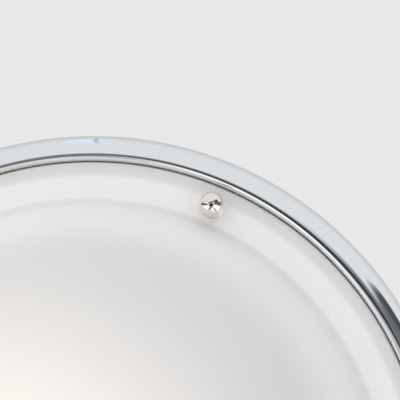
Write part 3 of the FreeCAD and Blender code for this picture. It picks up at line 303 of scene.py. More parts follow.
def calc(tree, operation, *values, clamp=False):
    """A Math node's result from up to three values or sockets."""
    inputs = dict(enumerate(values))
    return node(tree, "ShaderNodeMath", inputs, operation=operation, use_clamp=clamp).outputs[0]


def vector_calc(tree, operation, *values):
    """A Vector Math node, from values or sockets."""
    return node(tree, "ShaderNodeVectorMath", dict(enumerate(values)), operation=operation)


def hypotenuse(tree, first, second):
    """The length of two sides at right angles."""
    squares = calc(tree, "ADD", calc(tree, "POWER", first, 2.0), calc(tree, "POWER", second, 2.0))
    return calc(tree, "SQRT", squares)


def ease(tree, value, low, high):
    """0 at low and 1 at high, with a smooth step between. Low may be the larger, which turns it round."""
    if low < high:
        inputs = {"Value": value, "From Min": low, "From Max": high}
    else:
        inputs = {"Value": value, "From Min": high, "From Max": low, "To Min": 1.0, "To Max": 0.0}
    return node(tree, "ShaderNodeMapRange", inputs, interpolation_type="SMOOTHSTEP").outputs["Result"]


def blend(tree, factor, first, second, blend_type="MIX"):
    """Mix two colours, which are sockets 6 and 7 of a Mix node, by a factor."""
    inputs = {0: factor, 6: first, 7: second}
    return node(tree, "ShaderNodeMix", inputs, data_type="RGBA", blend_type=blend_type).outputs[2]


def blend_value(tree, factor, first, second):
    """Mix two values by a factor."""
    return node(tree, "ShaderNodeMix", {0: factor, 2: first, 3: second}, data_type="FLOAT").outputs[0]


def rgba(colour):
    """A colour with full alpha."""
    return (*colour, 1.0)


FLOAT = "NodeSocketFloat"
VECTOR = "NodeSocketVector"
# The shared groups that are made so far, by the function that makes each.
GROUPS = {}
BUMP_HEIGHT = 0.2 * MM


def new_group(name, inputs, outputs):
    """An empty shader node group. Inputs are (name, kind, default) and outputs (name, kind)."""
    tree = bpy.data.node_groups.new(name, "ShaderNodeTree")
    for socket, kind, default in inputs:
        tree.interface.new_socket(socket, in_out="INPUT", socket_type=kind).default_value = default
    for socket, kind in outputs:
        tree.interface.new_socket(socket, in_out="OUTPUT", socket_type=kind)
    return tree, tree.nodes.new("NodeGroupInput").outputs, tree.nodes.new("NodeGroupOutput").inputs


def placed(tree, make, inputs):
    """Place a shared group, which is made the first time that it is asked for, and give its outputs."""
    if make not in GROUPS:
        GROUPS[make] = make()
    return node(tree, "ShaderNodeGroup", inputs, node_tree=GROUPS[make]).outputs


def axis_group():
    """Where a point lies about the light's axis: its radius and its height, in metres."""
    tree, given, out = new_group(
        "Axis place", [("Vector", VECTOR, (0, 0, 0))], [("Radius", FLOAT), ("Height", FLOAT)])
    parts = node(tree, "ShaderNodeSeparateXYZ", {"Vector": given["Vector"]}).outputs
    tree.links.new(hypotenuse(tree, parts["X"], parts["Y"]), out["Radius"])
    tree.links.new(parts["Z"], out["Height"])
    return tree


def noise(tree, place, scale, detail):
    """A noise from 0 to 1."""
    return node(tree, "ShaderNodeTexNoise", {"Vector": place, "Scale": scale, "Detail": detail}).outputs[0]


def grain_group():
    """Fine unevenness: a roughness that drifts about a value, a shallow bump and the mask behind them."""
    tree, given, out = new_group(
        "Fine grain",
        [("Vector", VECTOR, (0, 0, 0)), ("Scale", FLOAT, 200.0), ("Roughness", FLOAT, 0.3),
         ("Drift", FLOAT, 0.05), ("Depth", FLOAT, 0.1)],
        [("Roughness", FLOAT), ("Normal", VECTOR), ("Mask", FLOAT)],
    )
    fine_share, wide_share, wide_scale = 0.4, 0.6, 0.11
    fine = noise(tree, given["Vector"], given["Scale"], 4.0)
    wide = noise(tree, given["Vector"], calc(tree, "MULTIPLY", given["Scale"], wide_scale), 3.0)
    both = calc(tree, "MULTIPLY_ADD", fine, fine_share, calc(tree, "MULTIPLY", wide, wide_share))
    swing = calc(tree, "MULTIPLY", given["Drift"], 2.0)
    drift = calc(tree, "MULTIPLY", calc(tree, "SUBTRACT", both, 0.5), swing)
    bump = node(tree, "ShaderNodeBump", {"Strength": given["Depth"], "Distance": BUMP_HEIGHT, "Height": fine})
    tree.links.new(calc(tree, "ADD", given["Roughness"], drift, clamp=True), out["Roughness"])
    tree.links.new(bump.outputs[0], out["Normal"])
    tree.links.new(both, out["Mask"])
    return tree


def card_group():
    """How much of a studio card lies in a direction, given as an angle round the view and a reach from it."""
    tree, given, out = new_group(
        "Studio card",
        [("Angle", FLOAT, 0.0), ("Reach", FLOAT, 0.0), ("Middle", FLOAT, 0.0), ("Half", FLOAT, 10.0),
         ("Lean", FLOAT, 0.0), ("Near", FLOAT, 0.0), ("Far", FLOAT, 1.0), ("Angle edge", FLOAT, 2.0),
         ("Reach edge", FLOAT, 0.02)],
        [("Mask", FLOAT)],
    )
    centre = calc(tree, "MULTIPLY_ADD", given["Reach"], given["Lean"], given["Middle"])
    turn = calc(tree, "WRAP", calc(tree, "SUBTRACT", given["Angle"], centre), 180.0, -180.0)
    beside = calc(tree, "SUBTRACT", given["Half"], calc(tree, "ABSOLUTE", turn))
    mask = calc(tree, "MULTIPLY_ADD", calc(tree, "DIVIDE", beside, given["Angle edge"]), 0.5, 0.5, clamp=True)
    for inner, outer in (("Reach", "Near"), ("Far", "Reach")):
        step = calc(tree, "DIVIDE", calc(tree, "SUBTRACT", given[inner], given[outer]), given["Reach edge"])
        mask = calc(tree, "MULTIPLY", mask, calc(tree, "MULTIPLY_ADD", step, 0.5, 0.5, clamp=True))
    tree.links.new(mask, out["Mask"])
    return tree


def start_material(name, colour, roughness, metallic=0.0):
    """A material with one Principled shader. Gives it with its tree, shader inputs and Object coordinates."""
    material = bpy.data.materials.new(name)
    material.use_nodes = True
    tree = material.node_tree
    tree.nodes.clear()
    shader = node(tree, "ShaderNodeBsdfPrincipled", {
        "Base Color": rgba(colour), "Roughness": roughness, "Metallic": metallic})
    node(tree, "ShaderNodeOutputMaterial", {"Surface": shader.outputs[0]})
    return material, tree, shader.inputs, node(tree, "ShaderNodeTexCoord").outputs["Object"]


def grain(tree, place, roughness, scale, drift, depth=0.0):
    """The outputs of the fine grain, with these values."""
    return placed(tree, grain_group, {
        "Vector": place, "Scale": scale, "Roughness": roughness, "Drift": drift, "Depth": depth})


def add_grain(tree, shader, place, roughness, scale, drift, depth=0.0):
    """Give a shader the fine grain's roughness and, where it has depth, its bump. Gives the grain's mask."""
    outputs = grain(tree, place, roughness, scale, drift, depth)
    tree.links.new(outputs["Roughness"], shader["Roughness"])
    if depth:
        tree.links.new(outputs["Normal"], shader["Normal"])
    return outputs["Mask"]


def plain_finish(name, colour, roughness, scale, drift, depth, dark=0.86, metallic=0.0):
    """A finish of one colour, down to a darker share of it, whose gloss and surface drift a little too."""
    material, tree, shader, place = start_material(name, colour, roughness, metallic)
    mask = add_grain(tree, shader, place, roughness, scale, drift, depth)
    darkest = rgba([channel * dark for channel in colour])
    light = ease(tree, mask, 0.40, 0.60)
    tree.links.new(blend(tree, light, darkest, rgba(colour)), shader["Base Color"])
    return material


def paint(material, *names):
    """Give CAD nodes or new pieces a finish."""
    for name in names:
        piece = bpy.data.objects[name]
        piece.data.materials.clear()
        piece.data.materials.append(material)


# Settings

def length(label, text, default):
    """A size in metres."""
    return bpy.props.FloatProperty(name=label, description=text, default=default, unit="LENGTH", precision=5)


def tint(label, text, default):
    """A colour."""
    return bpy.props.FloatVectorProperty(
        name=label, description=text, default=default, size=3, subtype="COLOR", min=0.0, max=1.0)


class SizeSettings(bpy.types.PropertyGroup):
    """Sizes of the pieces that are shaped here."""
    sheet: length("Sheet", "Thickness of the pan's steel", 1.0 * MM)
    rim_round: length("Rim round", "Radius of the bullnose rim", 11.7 * MM)
    curl_round: length("Curl round", "Radius of the small curl inside the rim", 1.5 * MM)
    back_corner: length("Back corner", "Radius of the pan's back corner", 3.0 * MM)
    back_recess: length("Back recess", "How far the back plate stands off the ceiling", 3.0 * MM)
    contact_width: length("Contact ring", "Width of the ring that meets the ceiling", 10.0 * MM)
    cable_entry: length("Cable entry", "Radius of the hole for the grommet", 7.5 * MM)
    ledge_gap: length("Ledge gap", "How far the ledge reaches inside a stud", 2.95 * MM)
    fixing_hole: length("Fixing hole", "Radius of the holes for the ceiling screws", 2.75 * MM)
    fixing_circle: length("Fixing circle", "Radius of the circle of those holes", 120.0 * MM)
    glass: length("Glass", "Thickness of the shade", 3.0 * MM)
    glass_edge: length("Glass edge", "Radius of the flange's front edge", 1.2 * MM)
    glass_hole: length("Glass hole", "Radius of the shade's holes for the sleeves", 4.3 * MM)
    dome: length("Dome", "Radius where the dome leaves the flange", 148.2 * MM)
    root_round: length("Root round", "Radius between the flange and the dome's wall", 4.0 * MM)
    shoulder_round: length("Shoulder round", "Radius of the dome's shoulder", 52.0 * MM)
    stud_pitch: length("Stud pitch", "Pitch of the studs' and screws' thread", 0.7 * MM)
    cap_pitch: length("Cap pitch", "Pitch of the bulb caps' thread", 3.63 * MM)
    cap_depth: length("Cap thread depth", "Depth of the bulb caps' thread", 0.8 * MM)
    knob_neck: length("Knob neck", "Radius of the foot of a ball knob", 3.8 * MM)
    knob_foot: length("Knob foot", "Height of the foot of a ball knob", 1.5 * MM)
    knob_bore: length("Knob bore", "Depth of the threaded bore of a ball knob", 10.5 * MM)


class FinishSettings(bpy.types.PropertyGroup):
    """Colours of the finishes, and of the painted glow and the painted shade in the foam's cells."""
    chrome: tint("Chrome", "Colour of the rim's plating", (0.865, 0.885, 0.905))
    enamel: tint("Enamel", "Paint inside the pan", (0.84, 0.84, 0.82))
    nickel: tint("Nickel", "Colour of the knobs' plating", (0.93, 0.86, 0.81))
    opal: tint("Opal glass", "Body colour of the shade", (0.92, 0.93, 0.94))
    # The glow is painted into the shade's emission; it stands in for the lamps' light through the glass.
    glow: tint("Glow", "Colour of the lamps' light through the shade", (1.0, 0.80, 0.66))
    zinc: tint("Zinc", "Colour of the plated steel", (0.62, 0.63, 0.64))
    brass: tint("Brass", "Colour of the caps and contacts", (0.80, 0.64, 0.36))
    porcelain: tint("Porcelain", "Glaze of the lampholders", (0.86, 0.85, 0.82))
    frost: tint("Frosted bulbs", "Colour of the bulbs", (0.86, 0.85, 0.82))
    insulator: tint("Insulator", "Colour round the bulbs' end contacts", (0.012, 0.012, 0.016))
    sleeve: tint("Sleeves", "Nylon of the sleeves in the glass", (0.70, 0.70, 0.66))
    block: tint("Terminal block", "Nylon of the terminal block and the lead clips", (0.78, 0.78, 0.75))
    live: tint("Live leads", "Insulation of the live leads", (0.085, 0.032, 0.014))
    neutral: tint("Neutral leads", "Insulation of the neutral leads", (0.015, 0.075, 0.33))
    earth: tint("Earth lead", "Insulation of the earth lead", (0.03, 0.22, 0.05))
    stripe: tint("Earth stripe", "Stripe along the earth lead", (0.72, 0.55, 0.03))
    rubber: tint("Rubber", "Colour of the grommet", (0.022, 0.022, 0.022))
    foam: tint("Foam", "Colour of the gasket", (0.78, 0.78, 0.75))
    # Painted shade: the darker colour painted in the pits of the gasket's foam cells.
    foam_pit_shade: tint("Foam cells", "Colour in the cells of the gasket", (0.55, 0.55, 0.52))


class StudioSettings(bpy.types.PropertyGroup):
    """Where the camera and the floor are, and the colours behind the light."""
    camera_x: length("Camera across", "Camera to the right of the light's axis", 180.3 * MM)
    camera_y: length("Camera towards", "Camera on the near side of the light's axis", 90.5 * MM)
    camera_drop: length("Camera drop", "Camera below the ceiling", 1300 * MM)
    aim_x: length("Aim across", "Where the camera looks, across", 56.5 * MM)
    aim_y: length("Aim towards", "Where the camera looks, towards the near side", -148.0 * MM)
    aim_drop: length("Aim drop", "How far below the ceiling the camera looks", 15 * MM)
    lens: bpy.props.FloatProperty(
        name="Lens", description="Focal length of the camera", default=238.4, unit="CAMERA")
    floor_drop: length("Floor drop", "Floor below the ceiling", 4.4)
    backdrop: tint("Backdrop", "Plain background behind the light", (0.8148, 0.8148, 0.8148))
    floor: tint("Floor", "Paint of the floor", (0.80, 0.80, 0.80))


# The light

class LIGHT_OT_pan(bpy.types.Operator):
    """Spin the pan with its bullnose rim, chrome it outside and enamel it inside"""
    bl_idname = "ceiling_light.pan"
    bl_label = "Pan"

    def execute(self, context):
        sizes = context.scene.light_sizes
        made = carve(turn_full(draw(self.outline(sizes)), PAN_SIDES), self.holes(sizes))
        finish_piece(made, "spun_pan", "fixture", "chrome_rim", "pan")
        paint(self.plating(context.scene.light_finish, sizes), "spun_pan")
        return {"FINISHED"}

    def outline(self, sizes):
        """The section of the pan, from the cable entry out to the rim and back in."""
        low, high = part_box("pan")
        edge, crown = high.x / MM, low.z / MM
        sheet, recess, entry = sizes.sheet / MM, sizes.back_recess / MM, sizes.cable_entry / MM
        corner, bullnose, curl = sizes.back_corner / MM, sizes.rim_round / MM, sizes.curl_round / MM
        flat_end = edge - corner
        step_out = flat_end - sizes.contact_width / MM
        step_in = step_out - recess
        # The sheet slopes at 45 degrees between the ring that meets the ceiling and the back plate.
        skew = sheet * math.tan(math.radians(45) / 2)
        rim, rim_middle = edge - bullnose, crown + bullnose
        lip, curl_middle = rim - curl, crown + curl
        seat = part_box("seat_gasket")[1].z / MM
        ledge = middle("mounting_stud_1").xy.length / MM + sizes.ledge_gap / MM
        return [
            (entry, -recess), (step_in, -recess), (step_out, 0), (flat_end, 0), (flat_end, -corner, 90),
            (edge, rim_middle), (rim, rim_middle, 90), (rim, curl_middle, 90), (lip, seat), (ledge, seat),
            (ledge, seat + sheet), (lip + sheet, seat + sheet), (lip + sheet, curl_middle),
            (rim, curl_middle, -90), (rim, rim_middle, -90), (edge - sheet, -corner),
            (flat_end, -corner, -90), (step_out + skew, -sheet), (step_in + skew, -recess - sheet),
            (entry, -recess - sheet), (entry, -recess),
        ]

    def holes(self, sizes):
        """The three holes for the ceiling screws, midway between the studs."""
        made = bmesh.new()
        stud = middle("mounting_stud_1")
        # The cutters reach this far past the ceiling's plane, both ways.
        past = 10 * MM
        for gap in range(len(STUDS)):
            turn = math.atan2(stud.y, stud.x) + math.tau * (gap + 0.5) / len(STUDS)
            place = (math.cos(turn) * sizes.fixing_circle, math.sin(turn) * sizes.fixing_circle)
            add_post(made, place, sizes.fixing_hole, -past, past, FIXING_HOLE_SIDES)
        return made

    def plating(self, finish, sizes):
        """Chrome outside, round the rim to the curl, and enamel inside, out to the lip's edge."""
        material, tree, shader, place = start_material("chrome_rim", finish.chrome, 0.04)
        where = placed(tree, axis_group, {"Vector": place})
        radius, height = where["Radius"], where["Height"]
        low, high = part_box("pan")
        half = sizes.sheet / 2
        rim = high.x - sizes.rim_round
        corner = high.x - sizes.back_corner
        # The middle, the way along Z and the radius of the bends that the sheet's outside follows.
        bends = (
            (rim, low.z + sizes.rim_round, -1, sizes.rim_round),
            (corner, -sizes.back_corner, 1, sizes.back_corner))
        inside = 1.0
        for bend_x, bend_z, way, bend_radius in bends:
            out = calc(tree, "MAXIMUM", calc(tree, "SUBTRACT", radius, bend_x), 0.0)
            along = calc(tree, "MULTIPLY", calc(tree, "SUBTRACT", height, bend_z), way)
            away = hypotenuse(tree, out, calc(tree, "MAXIMUM", along, 0.0))
            inside = calc(tree, "MULTIPLY", inside, calc(tree, "LESS_THAN", away, bend_radius - half))
        step = corner - sizes.contact_width
        recessed = ease(tree, radius, step, step - sizes.back_recess)
        back = calc(tree, "MULTIPLY", recessed, -sizes.back_recess)
        front = calc(tree, "LESS_THAN", height, calc(tree, "SUBTRACT", back, half))
        lip = calc(tree, "GREATER_THAN", height, low.z + sizes.curl_round)
        hollow = calc(tree, "GREATER_THAN", radius, rim - sizes.curl_round + half)
        enamel = calc(tree, "MULTIPLY", inside, front)
        enamel = calc(tree, "MULTIPLY", enamel, calc(tree, "MAXIMUM", lip, hollow))
        polish = grain(tree, place, 0.035, scale=300.0, drift=0.02)
        coat = grain(tree, place, 0.34, scale=600.0, drift=0.06)
        tree.links.new(blend(tree, enamel, rgba(finish.chrome), rgba(finish.enamel)), shader["Base Color"])
        tree.links.new(blend_value(tree, enamel, polish["Roughness"], coat["Roughness"]), shader["Roughness"])
        tree.links.new(calc(tree, "SUBTRACT", 1.0, enamel), shader["Metallic"])
        return material


# Painted shade and light on the shade's glass: its tone on its axis, then from which to which radius in
# millimetres it blends to the next one. It is painted darker over the dome's middle, in the crease at the
# dome's root and over the seat, and paler on the shoulder and the flange.
MIDDLE_PAINTED_SHADE = 0.76
PAINTED_SHADE_TONES = ((75, 105, 0.74), (114, 138, 0.86), (141, 145, 0.82), (146, 149.5, 0.99), (158.5, 162, 0.885))


class LIGHT_OT_shade(bpy.types.Operator):
    """Blow the opal shade and give it its satin gloss, with painted shade and a faint glow painted over the
    lamps
    """
    bl_idname = "ceiling_light.shade"
    bl_label = "Shade"

    def execute(self, context):
        sizes = context.scene.light_sizes
        made = carve(turn_full(draw(self.outline(sizes)), SHADE_SIDES), self.holes(sizes))
        finish_piece(made, "opal_shade", "shade", "opal_glass", "shade_glass")
        paint(self.opal(context.scene.light_finish), "opal_shade")
        return {"FINISHED"}

    def outline(self, sizes):
        """The section of the shade: flange, root, steep wall, shoulder and shallow cap, in one thickness."""
        low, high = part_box("shade_glass")
        steep, flat = math.radians(65), math.radians(33)
        glass, nose, root = sizes.glass / MM, sizes.glass_edge / MM, sizes.root_round / MM
        shoulder = sizes.shoulder_round / MM
        edge, back, bottom = high.x / MM, high.z / MM, low.z / MM
        front = back - glass
        root_x, root_z = sizes.dome / MM + root * math.tan(steep / 2), front - root
        wall_x, wall_z = root_x - root * math.sin(steep), root_z + root * math.cos(steep)
        # The wall runs on until the shoulder and the cap below it just reach the bottom.
        across = shoulder * (math.sin(steep) - math.sin(flat))
        down = shoulder * (math.cos(flat) - math.cos(steep))
        bow = math.tan(flat / 2)
        run = (wall_z - bottom - down - bow * (wall_x - across)) / (math.tan(steep) - bow)
        end_x, end_z = wall_x - run, wall_z - run * math.tan(steep)
        arc_x, arc_z = end_x - shoulder * math.sin(steep), end_z + shoulder * math.cos(steep)
        cap_z = bottom + (end_x - across) / math.sin(flat)
        wall, turn, cap = math.degrees(steep), math.degrees(steep - flat), math.degrees(flat)
        back_x = root_x - (root + glass) * math.sin(steep)
        back_z = root_z + (root + glass) * math.cos(steep)
        return [
            (edge - nose, front), (root_x, front), (root_x, root_z, -wall), (end_x, end_z),
            (arc_x, arc_z, turn), (0, cap_z, cap),
            (0, bottom + glass), (0, cap_z, -cap), (arc_x, arc_z, -turn), (back_x, back_z),
            (root_x, root_z, wall), (edge, back), (edge, front + nose), (edge - nose, front + nose, 90),
        ]

    def holes(self, sizes):
        """The holes for the sleeves on the three studs."""
        made = bmesh.new()
        # The cutters reach past both faces of the flange.
        low, high = -30 * MM, -10 * MM
        for stud in STUDS:
            add_post(made, middle(f"mounting_stud_{stud}"), sizes.glass_hole, low, high, GLASS_HOLE_SIDES)
        return made

    def opal(self, finish):
        """Satin opal glass, with painted shade over the dome's hollow, in the crease at its root and past its
        seat, and a faint glow painted over the lamps.
        """
        # With its drift the roughness stays above 0.27, round which the denoiser leaves marks.
        roughness, drift = 0.32, 0.04
        material, tree, shader, place = start_material("opal_glass", finish.opal, roughness)
        radius = placed(tree, axis_group, {"Vector": place})["Radius"]
        add_grain(tree, shader, place, roughness, scale=350.0, drift=drift)
        # Painted shade and light: the glass's colour is darkened and lightened ring by ring.
        tone = MIDDLE_PAINTED_SHADE
        for start, end, painted_level in PAINTED_SHADE_TONES:
            tone = blend_value(tree, ease(tree, radius, start * MM, end * MM), tone, painted_level)
        tree.links.new(blend(tree, 1.0, rgba(finish.opal), tone, "MULTIPLY"), shader["Base Color"])
        # A faint glow is painted into the glass's emission: a little everywhere inside the seat, and more
        # over the end of each globe.
        everywhere, seat_start, seat_end = 0.045, 159.5 * MM, 163.0 * MM
        spot, spot_width, spot_shift = 0.25, 45 * MM, 16 * MM
        glow = calc(tree, "MULTIPLY", ease(tree, radius, seat_end, seat_start), everywhere)
        flat = vector_calc(tree, "MULTIPLY", place, (1.0, 1.0, 0.0)).outputs[0]
        for lamp in LAMPS:
            heart = lamp_place(lamp) @ Vector((0, 0, -spot_shift))
            heart.z = 0.0
            apart = vector_calc(tree, "DISTANCE", flat, tuple(heart)).outputs["Value"]
            spread = calc(tree, "DIVIDE", calc(tree, "POWER", apart, 2.0), -2 * spot_width ** 2)
            glow = calc(tree, "MULTIPLY_ADD", calc(tree, "EXPONENT", spread), spot, glow)
        tree.links.new(blend(tree, 1.0, rgba(finish.glow), glow, "MULTIPLY"), shader["Emission Color"])
        shader["Emission Strength"].default_value = 1.0
        # The glow is too faint to light other pieces, so it isn't sampled as a lamp.
        material.cycles.emission_sampling = "NONE"
        return material


class LIGHT_OT_knobs(bpy.types.Operator):
    """Turn and plate the ball knobs, and plate their washers"""
    bl_idname = "ceiling_light.knobs"
    bl_label = "Knobs"

    def execute(self, context):
        sizes = context.scene.light_sizes
        finish = context.scene.light_finish
        material, tree, shader, place = start_material("nickel_knob", finish.nickel, 0.05, metallic=1.0)
        add_grain(tree, shader, place, 0.045, scale=900.0, drift=0.02)
        neck, foot, bore_end = sizes.knob_neck / MM, sizes.knob_foot / MM, sizes.knob_bore / MM
        bore = 2.05
        for stud in STUDS:
            low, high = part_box(f"finial_{stud}")
            ball = (high.x - low.x) / 2 / MM
            rise = math.sqrt(ball ** 2 - neck ** 2)
            made = turn_full(draw([
                (bore, 0), (neck, 0), (neck, -foot),
                (0, -foot - rise, 180 - math.degrees(math.atan2(neck, rise))),
                (0, -bore_end - bore / 2), (bore, -bore_end), (bore, 0)]), KNOB_SIDES)
            bmesh.ops.translate(made, verts=made.verts, vec=(*((low + high) / 2).xy, high.z))
            finish_piece(made, f"ball_knob_{stud}", f"finial_{stud}", "nickel_knob", f"finial_{stud}")
            paint(material, f"ball_knob_{stud}", f"washer_{stud}")
        return {"FINISHED"}


class LIGHT_OT_studs(bpy.types.Operator):
    """Thread the studs and finish them with their brackets, rivets and sleeves"""
    bl_idname = "ceiling_light.studs"
    bl_label = "Studs"

    def execute(self, context):
        sizes = context.scene.light_sizes
        finish = context.scene.light_finish
        zinc = plain_finish(
            "zinc_steel", finish.zinc, 0.36, scale=260.0, drift=0.12, depth=0.08, metallic=1.0)
        shank, head_height, chamfer = 2.0, 1.2, 0.6
        # The thread starts this far below the head's top.
        thread_start, depth = 6.5, 0.42
        core = shank - depth
        for stud in STUDS:
            low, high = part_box(f"mounting_stud_{stud}")
            foot = (high.z - low.z) / MM
            head = (high.x - low.x) / 2 / MM
            made = turn_full(draw([
                (0, 0), (head, 0), (head, -head_height), (shank, -head_height), (shank, -thread_start),
                (core, -thread_start - depth), (core, chamfer - foot), (core - chamfer / 2, -foot),
                (0, -foot)]), STUD_SIDES)
            take_in(made, make_v_thread(
                shank, depth, sizes.stud_pitch / MM, chamfer - foot, -thread_start, STUD_THREAD_SIDES))
            bmesh.ops.translate(made, verts=made.verts, vec=(*((low + high) / 2).xy, high.z))
            finish_piece(made, f"threaded_stud_{stud}", "fixture", "zinc_steel", f"mounting_stud_{stud}")
            paint(zinc, f"threaded_stud_{stud}", f"stud_bracket_{stud}")
        paint(zinc, "bracket_rivets")
        nylon = plain_finish(
            "nylon_clear", finish.sleeve, 0.38, scale=300.0, drift=0.08, depth=0.05, dark=0.92)
        paint(nylon, *[f"stud_bushing_{stud}" for stud in STUDS])
        return {"FINISHED"}


class LIGHT_OT_bulbs(bpy.types.Operator):
    """Frost the bulbs and press their screw caps"""
    bl_idname = "ceiling_light.bulbs"
    bl_label = "Bulbs"

    def execute(self, context):
        sizes = context.scene.light_sizes
        finish = context.scene.light_finish
        brass = plain_finish(
            "cap_brass", finish.brass, 0.22, scale=400.0, drift=0.08, depth=0.05, metallic=1.0)
        frost = plain_finish(
            "bulb_frosted", finish.frost, 0.42, scale=260.0, drift=0.06, depth=0.04, dark=0.96)
        dark = plain_finish("cap_insulator", finish.insulator, 0.15, scale=300.0, drift=0.05, depth=0.03)
        # The thickness of a cap's wall, the heights of its smooth skirt and cone, and the radius at its tip.
        wall, skirt, cone, tip = 0.35, 4.4, 3.5, 6.5
        for lamp in LAMPS:
            place = lamp_place(lamp)
            near, far = reach(corners(f"bulb_cap_{lamp}"), place)
            start, end, crest = near.z / MM, far.z / MM, far.x / MM
            low, high = start + skirt, end - cone
            root = crest - sizes.cap_depth / MM
            made = turn_full(draw([
                (crest - wall, start), (crest, start), (crest, low), (root, low), (root, low - wall),
                (crest - wall, low - wall), (crest - wall, start)]), CAP_SIDES)
            take_in(made, turn_full(draw([
                (root - wall, high), (crest, high), (tip, end), (tip - wall, end), (root - wall, high + wall),
                (root - wall, high)]), CAP_SIDES))
            take_in(made, make_wave_thread(root, crest, sizes.cap_pitch / MM, low, high, wall))
            made.transform(place)
            finish_piece(made, f"screw_cap_{lamp}", f"bulb_{lamp}", "cap_brass", f"bulb_cap_{lamp}")
            paint(brass, f"screw_cap_{lamp}")
            paint(frost, f"bulb_glass_{lamp}")
            paint(dark, f"bulb_contact_{lamp}")
        return {"FINISHED"}


class LIGHT_OT_lampholders(bpy.types.Operator):
    """Glaze the lampholders, and press the screw shells that line them"""
    bl_idname = "ceiling_light.lampholders"
    bl_label = "Lampholders"

    def execute(self, context):
        sizes = context.scene.light_sizes
        finish = context.scene.light_finish
        porcelain = plain_finish(
            "porcelain", finish.porcelain, 0.12, scale=120.0, drift=0.05, depth=0.05, dark=0.95)
        # A shell's play round the cap, the thickness of its wall, and the radius of the hole in its floor.
        gap, wall, hole = 0.7, 0.4, 9.0
        for lamp in LAMPS:
            place = lamp_place(lamp)
            near, far = reach(corners(f"screw_shell_{lamp}"), place)
            start, end = near.z / MM, far.z / MM
            crest = reach(corners(f"bulb_cap_{lamp}"), place)[1].x / MM + gap
            root = crest - sizes.cap_depth / MM
            made = turn_full(draw([
                (hole, end), (crest, end), (crest, end - wall), (hole, end - wall), (hole, end)]), CAP_SIDES)
            take_in(made, make_wave_thread(root, crest, sizes.cap_pitch / MM, start, end - wall, wall))
            made.transform(place)
            finish_piece(made, f"threaded_shell_{lamp}", "fixture", "cap_brass", f"screw_shell_{lamp}")
            paint(bpy.data.materials["cap_brass"], f"threaded_shell_{lamp}", f"centre_contact_{lamp}")
            paint(bpy.data.materials["zinc_steel"], f"holder_bracket_{lamp}")
            paint(porcelain, f"lampholder_{lamp}")
        return {"FINISHED"}


class LIGHT_OT_screws(bpy.types.Operator):
    """Cut the threads and the recesses of the screws"""
    bl_idname = "ceiling_light.screws"
    bl_label = "Screws"

    def execute(self, context):
        zinc = bpy.data.materials["zinc_steel"]
        pitch = context.scene.light_sizes.stud_pitch / MM
        for name in ("foot_screws", "terminal_block_screw", "earth_screw", "holder_screws"):
            made = bmesh.new()
            for points in solids(name):
                place = self.stand_up(points, self.outwards(points) if name == "holder_screws" else DOWN)
                high = reach(points, place)[1]
                take_in(made, self.crosshead(high.z / MM, high.x / MM, pitch), place)
            finish_piece(made, f"cross_{name}", "fixture", "zinc_steel", name, sharp=40)
            paint(zinc, f"cross_{name}")
        made = bmesh.new()
        for points in solids("terminal_screws"):
            place = self.stand_up(points, DOWN)
            high = reach(points, place)[1]
            take_in(made, self.grub(high.z / MM, high.x / MM), place)
        finish_piece(made, "slotted_terminal_screws", "fixture", "zinc_steel", "terminal_screws", sharp=40)
        paint(zinc, "slotted_terminal_screws", "earth_tag", "earth_washer")
        return {"FINISHED"}

    def outwards(self, points):
        """The way that a lampholder's screw faces: along its lamp, away from the middle of the light."""
        away = lamp_place(1).col[2].xyz
        return away if away.dot(points[0]) > 0 else -away

    def stand_up(self, points, axis):
        """The frame of a screw: its origin at the end of the tail, and Z along the axis to the head."""
        upright = stand((0, 0, 0), axis)
        low, high = reach(points, upright)
        return upright @ Matrix.Translation(((low.x + high.x) / 2, (low.y + high.y) / 2, low.z))

    def crosshead(self, top, side, pitch):
        """A domed screw of a height and a head's radius, with a cross recess and a thread up to the head."""
        # The shank's radius, its thread's depth, and how far its tail tapers in and up.
        shank, depth, chamfer, tail = 1.5, 0.28, 0.3, 0.4
        # The heights of the head and of its brim.
        head, brim = 2.0, 0.9
        core, under, dome = shank - depth, top - head, head - brim
        bow = (side ** 2 + dome ** 2) / dome / 2
        made = turn_full(draw([
            (0, 0), (core - chamfer, 0), (core, tail), (core, under), (side, under), (side, under + brim),
            (0, top - bow, -math.degrees(math.asin(side / bow)))]), SCREW_SIDES)
        made = carve(made, self.cross(top, side))
        take_in(made, make_v_thread(shank, depth, pitch, tail, under, SCREW_THREAD_SIDES))
        return made

    def cross(self, top, side):
        """The cross that cuts a recess in a head. Its arms reach to half of the radius and get shallower."""
        made = bmesh.new()
        bmesh.ops.create_cube(made, size=1.0)
        width, deep, arm, taper = 0.75 * MM, 1.3 * MM, side / 2 * MM, 0.7
        bmesh.ops.scale(made, verts=made.verts, vec=(width, width, deep * 2))
        made.normal_update()
        sides = [face for face in made.faces if abs(face.normal.z) < 0.5]
        grown = bmesh.ops.extrude_discrete_faces(made, faces=sides)["faces"]
        made.normal_update()
        for face in grown:
            bmesh.ops.translate(made, verts=face.verts, vec=face.normal * (arm - width / 2))
            deepest = [vert for vert in face.verts if vert.co.z < 0]
            bmesh.ops.translate(made, verts=deepest, vec=(0, 0, deep * taper))
        bmesh.ops.translate(made, verts=made.verts, vec=(0, 0, top * MM))
        return made

    def grub(self, top, side):
        """A headless clamping screw of a height and a radius, with a slot."""
        bevel, slot_width, slot_depth = 0.2, 0.6 * MM, 0.8 * MM
        made = turn_full(draw([
            (0, 0), (side - bevel, 0), (side, bevel), (side, top - bevel), (side - bevel, top),
            (0, top)]), GRUB_SIDES)
        slot = bmesh.new()
        bmesh.ops.create_cube(slot, size=1.0)
        bmesh.ops.scale(slot, verts=slot.verts, vec=(side * 3 * MM, slot_width, slot_depth * 2))
        bmesh.ops.translate(slot, verts=slot.verts, vec=(0, 0, top * MM))
        return carve(made, slot)


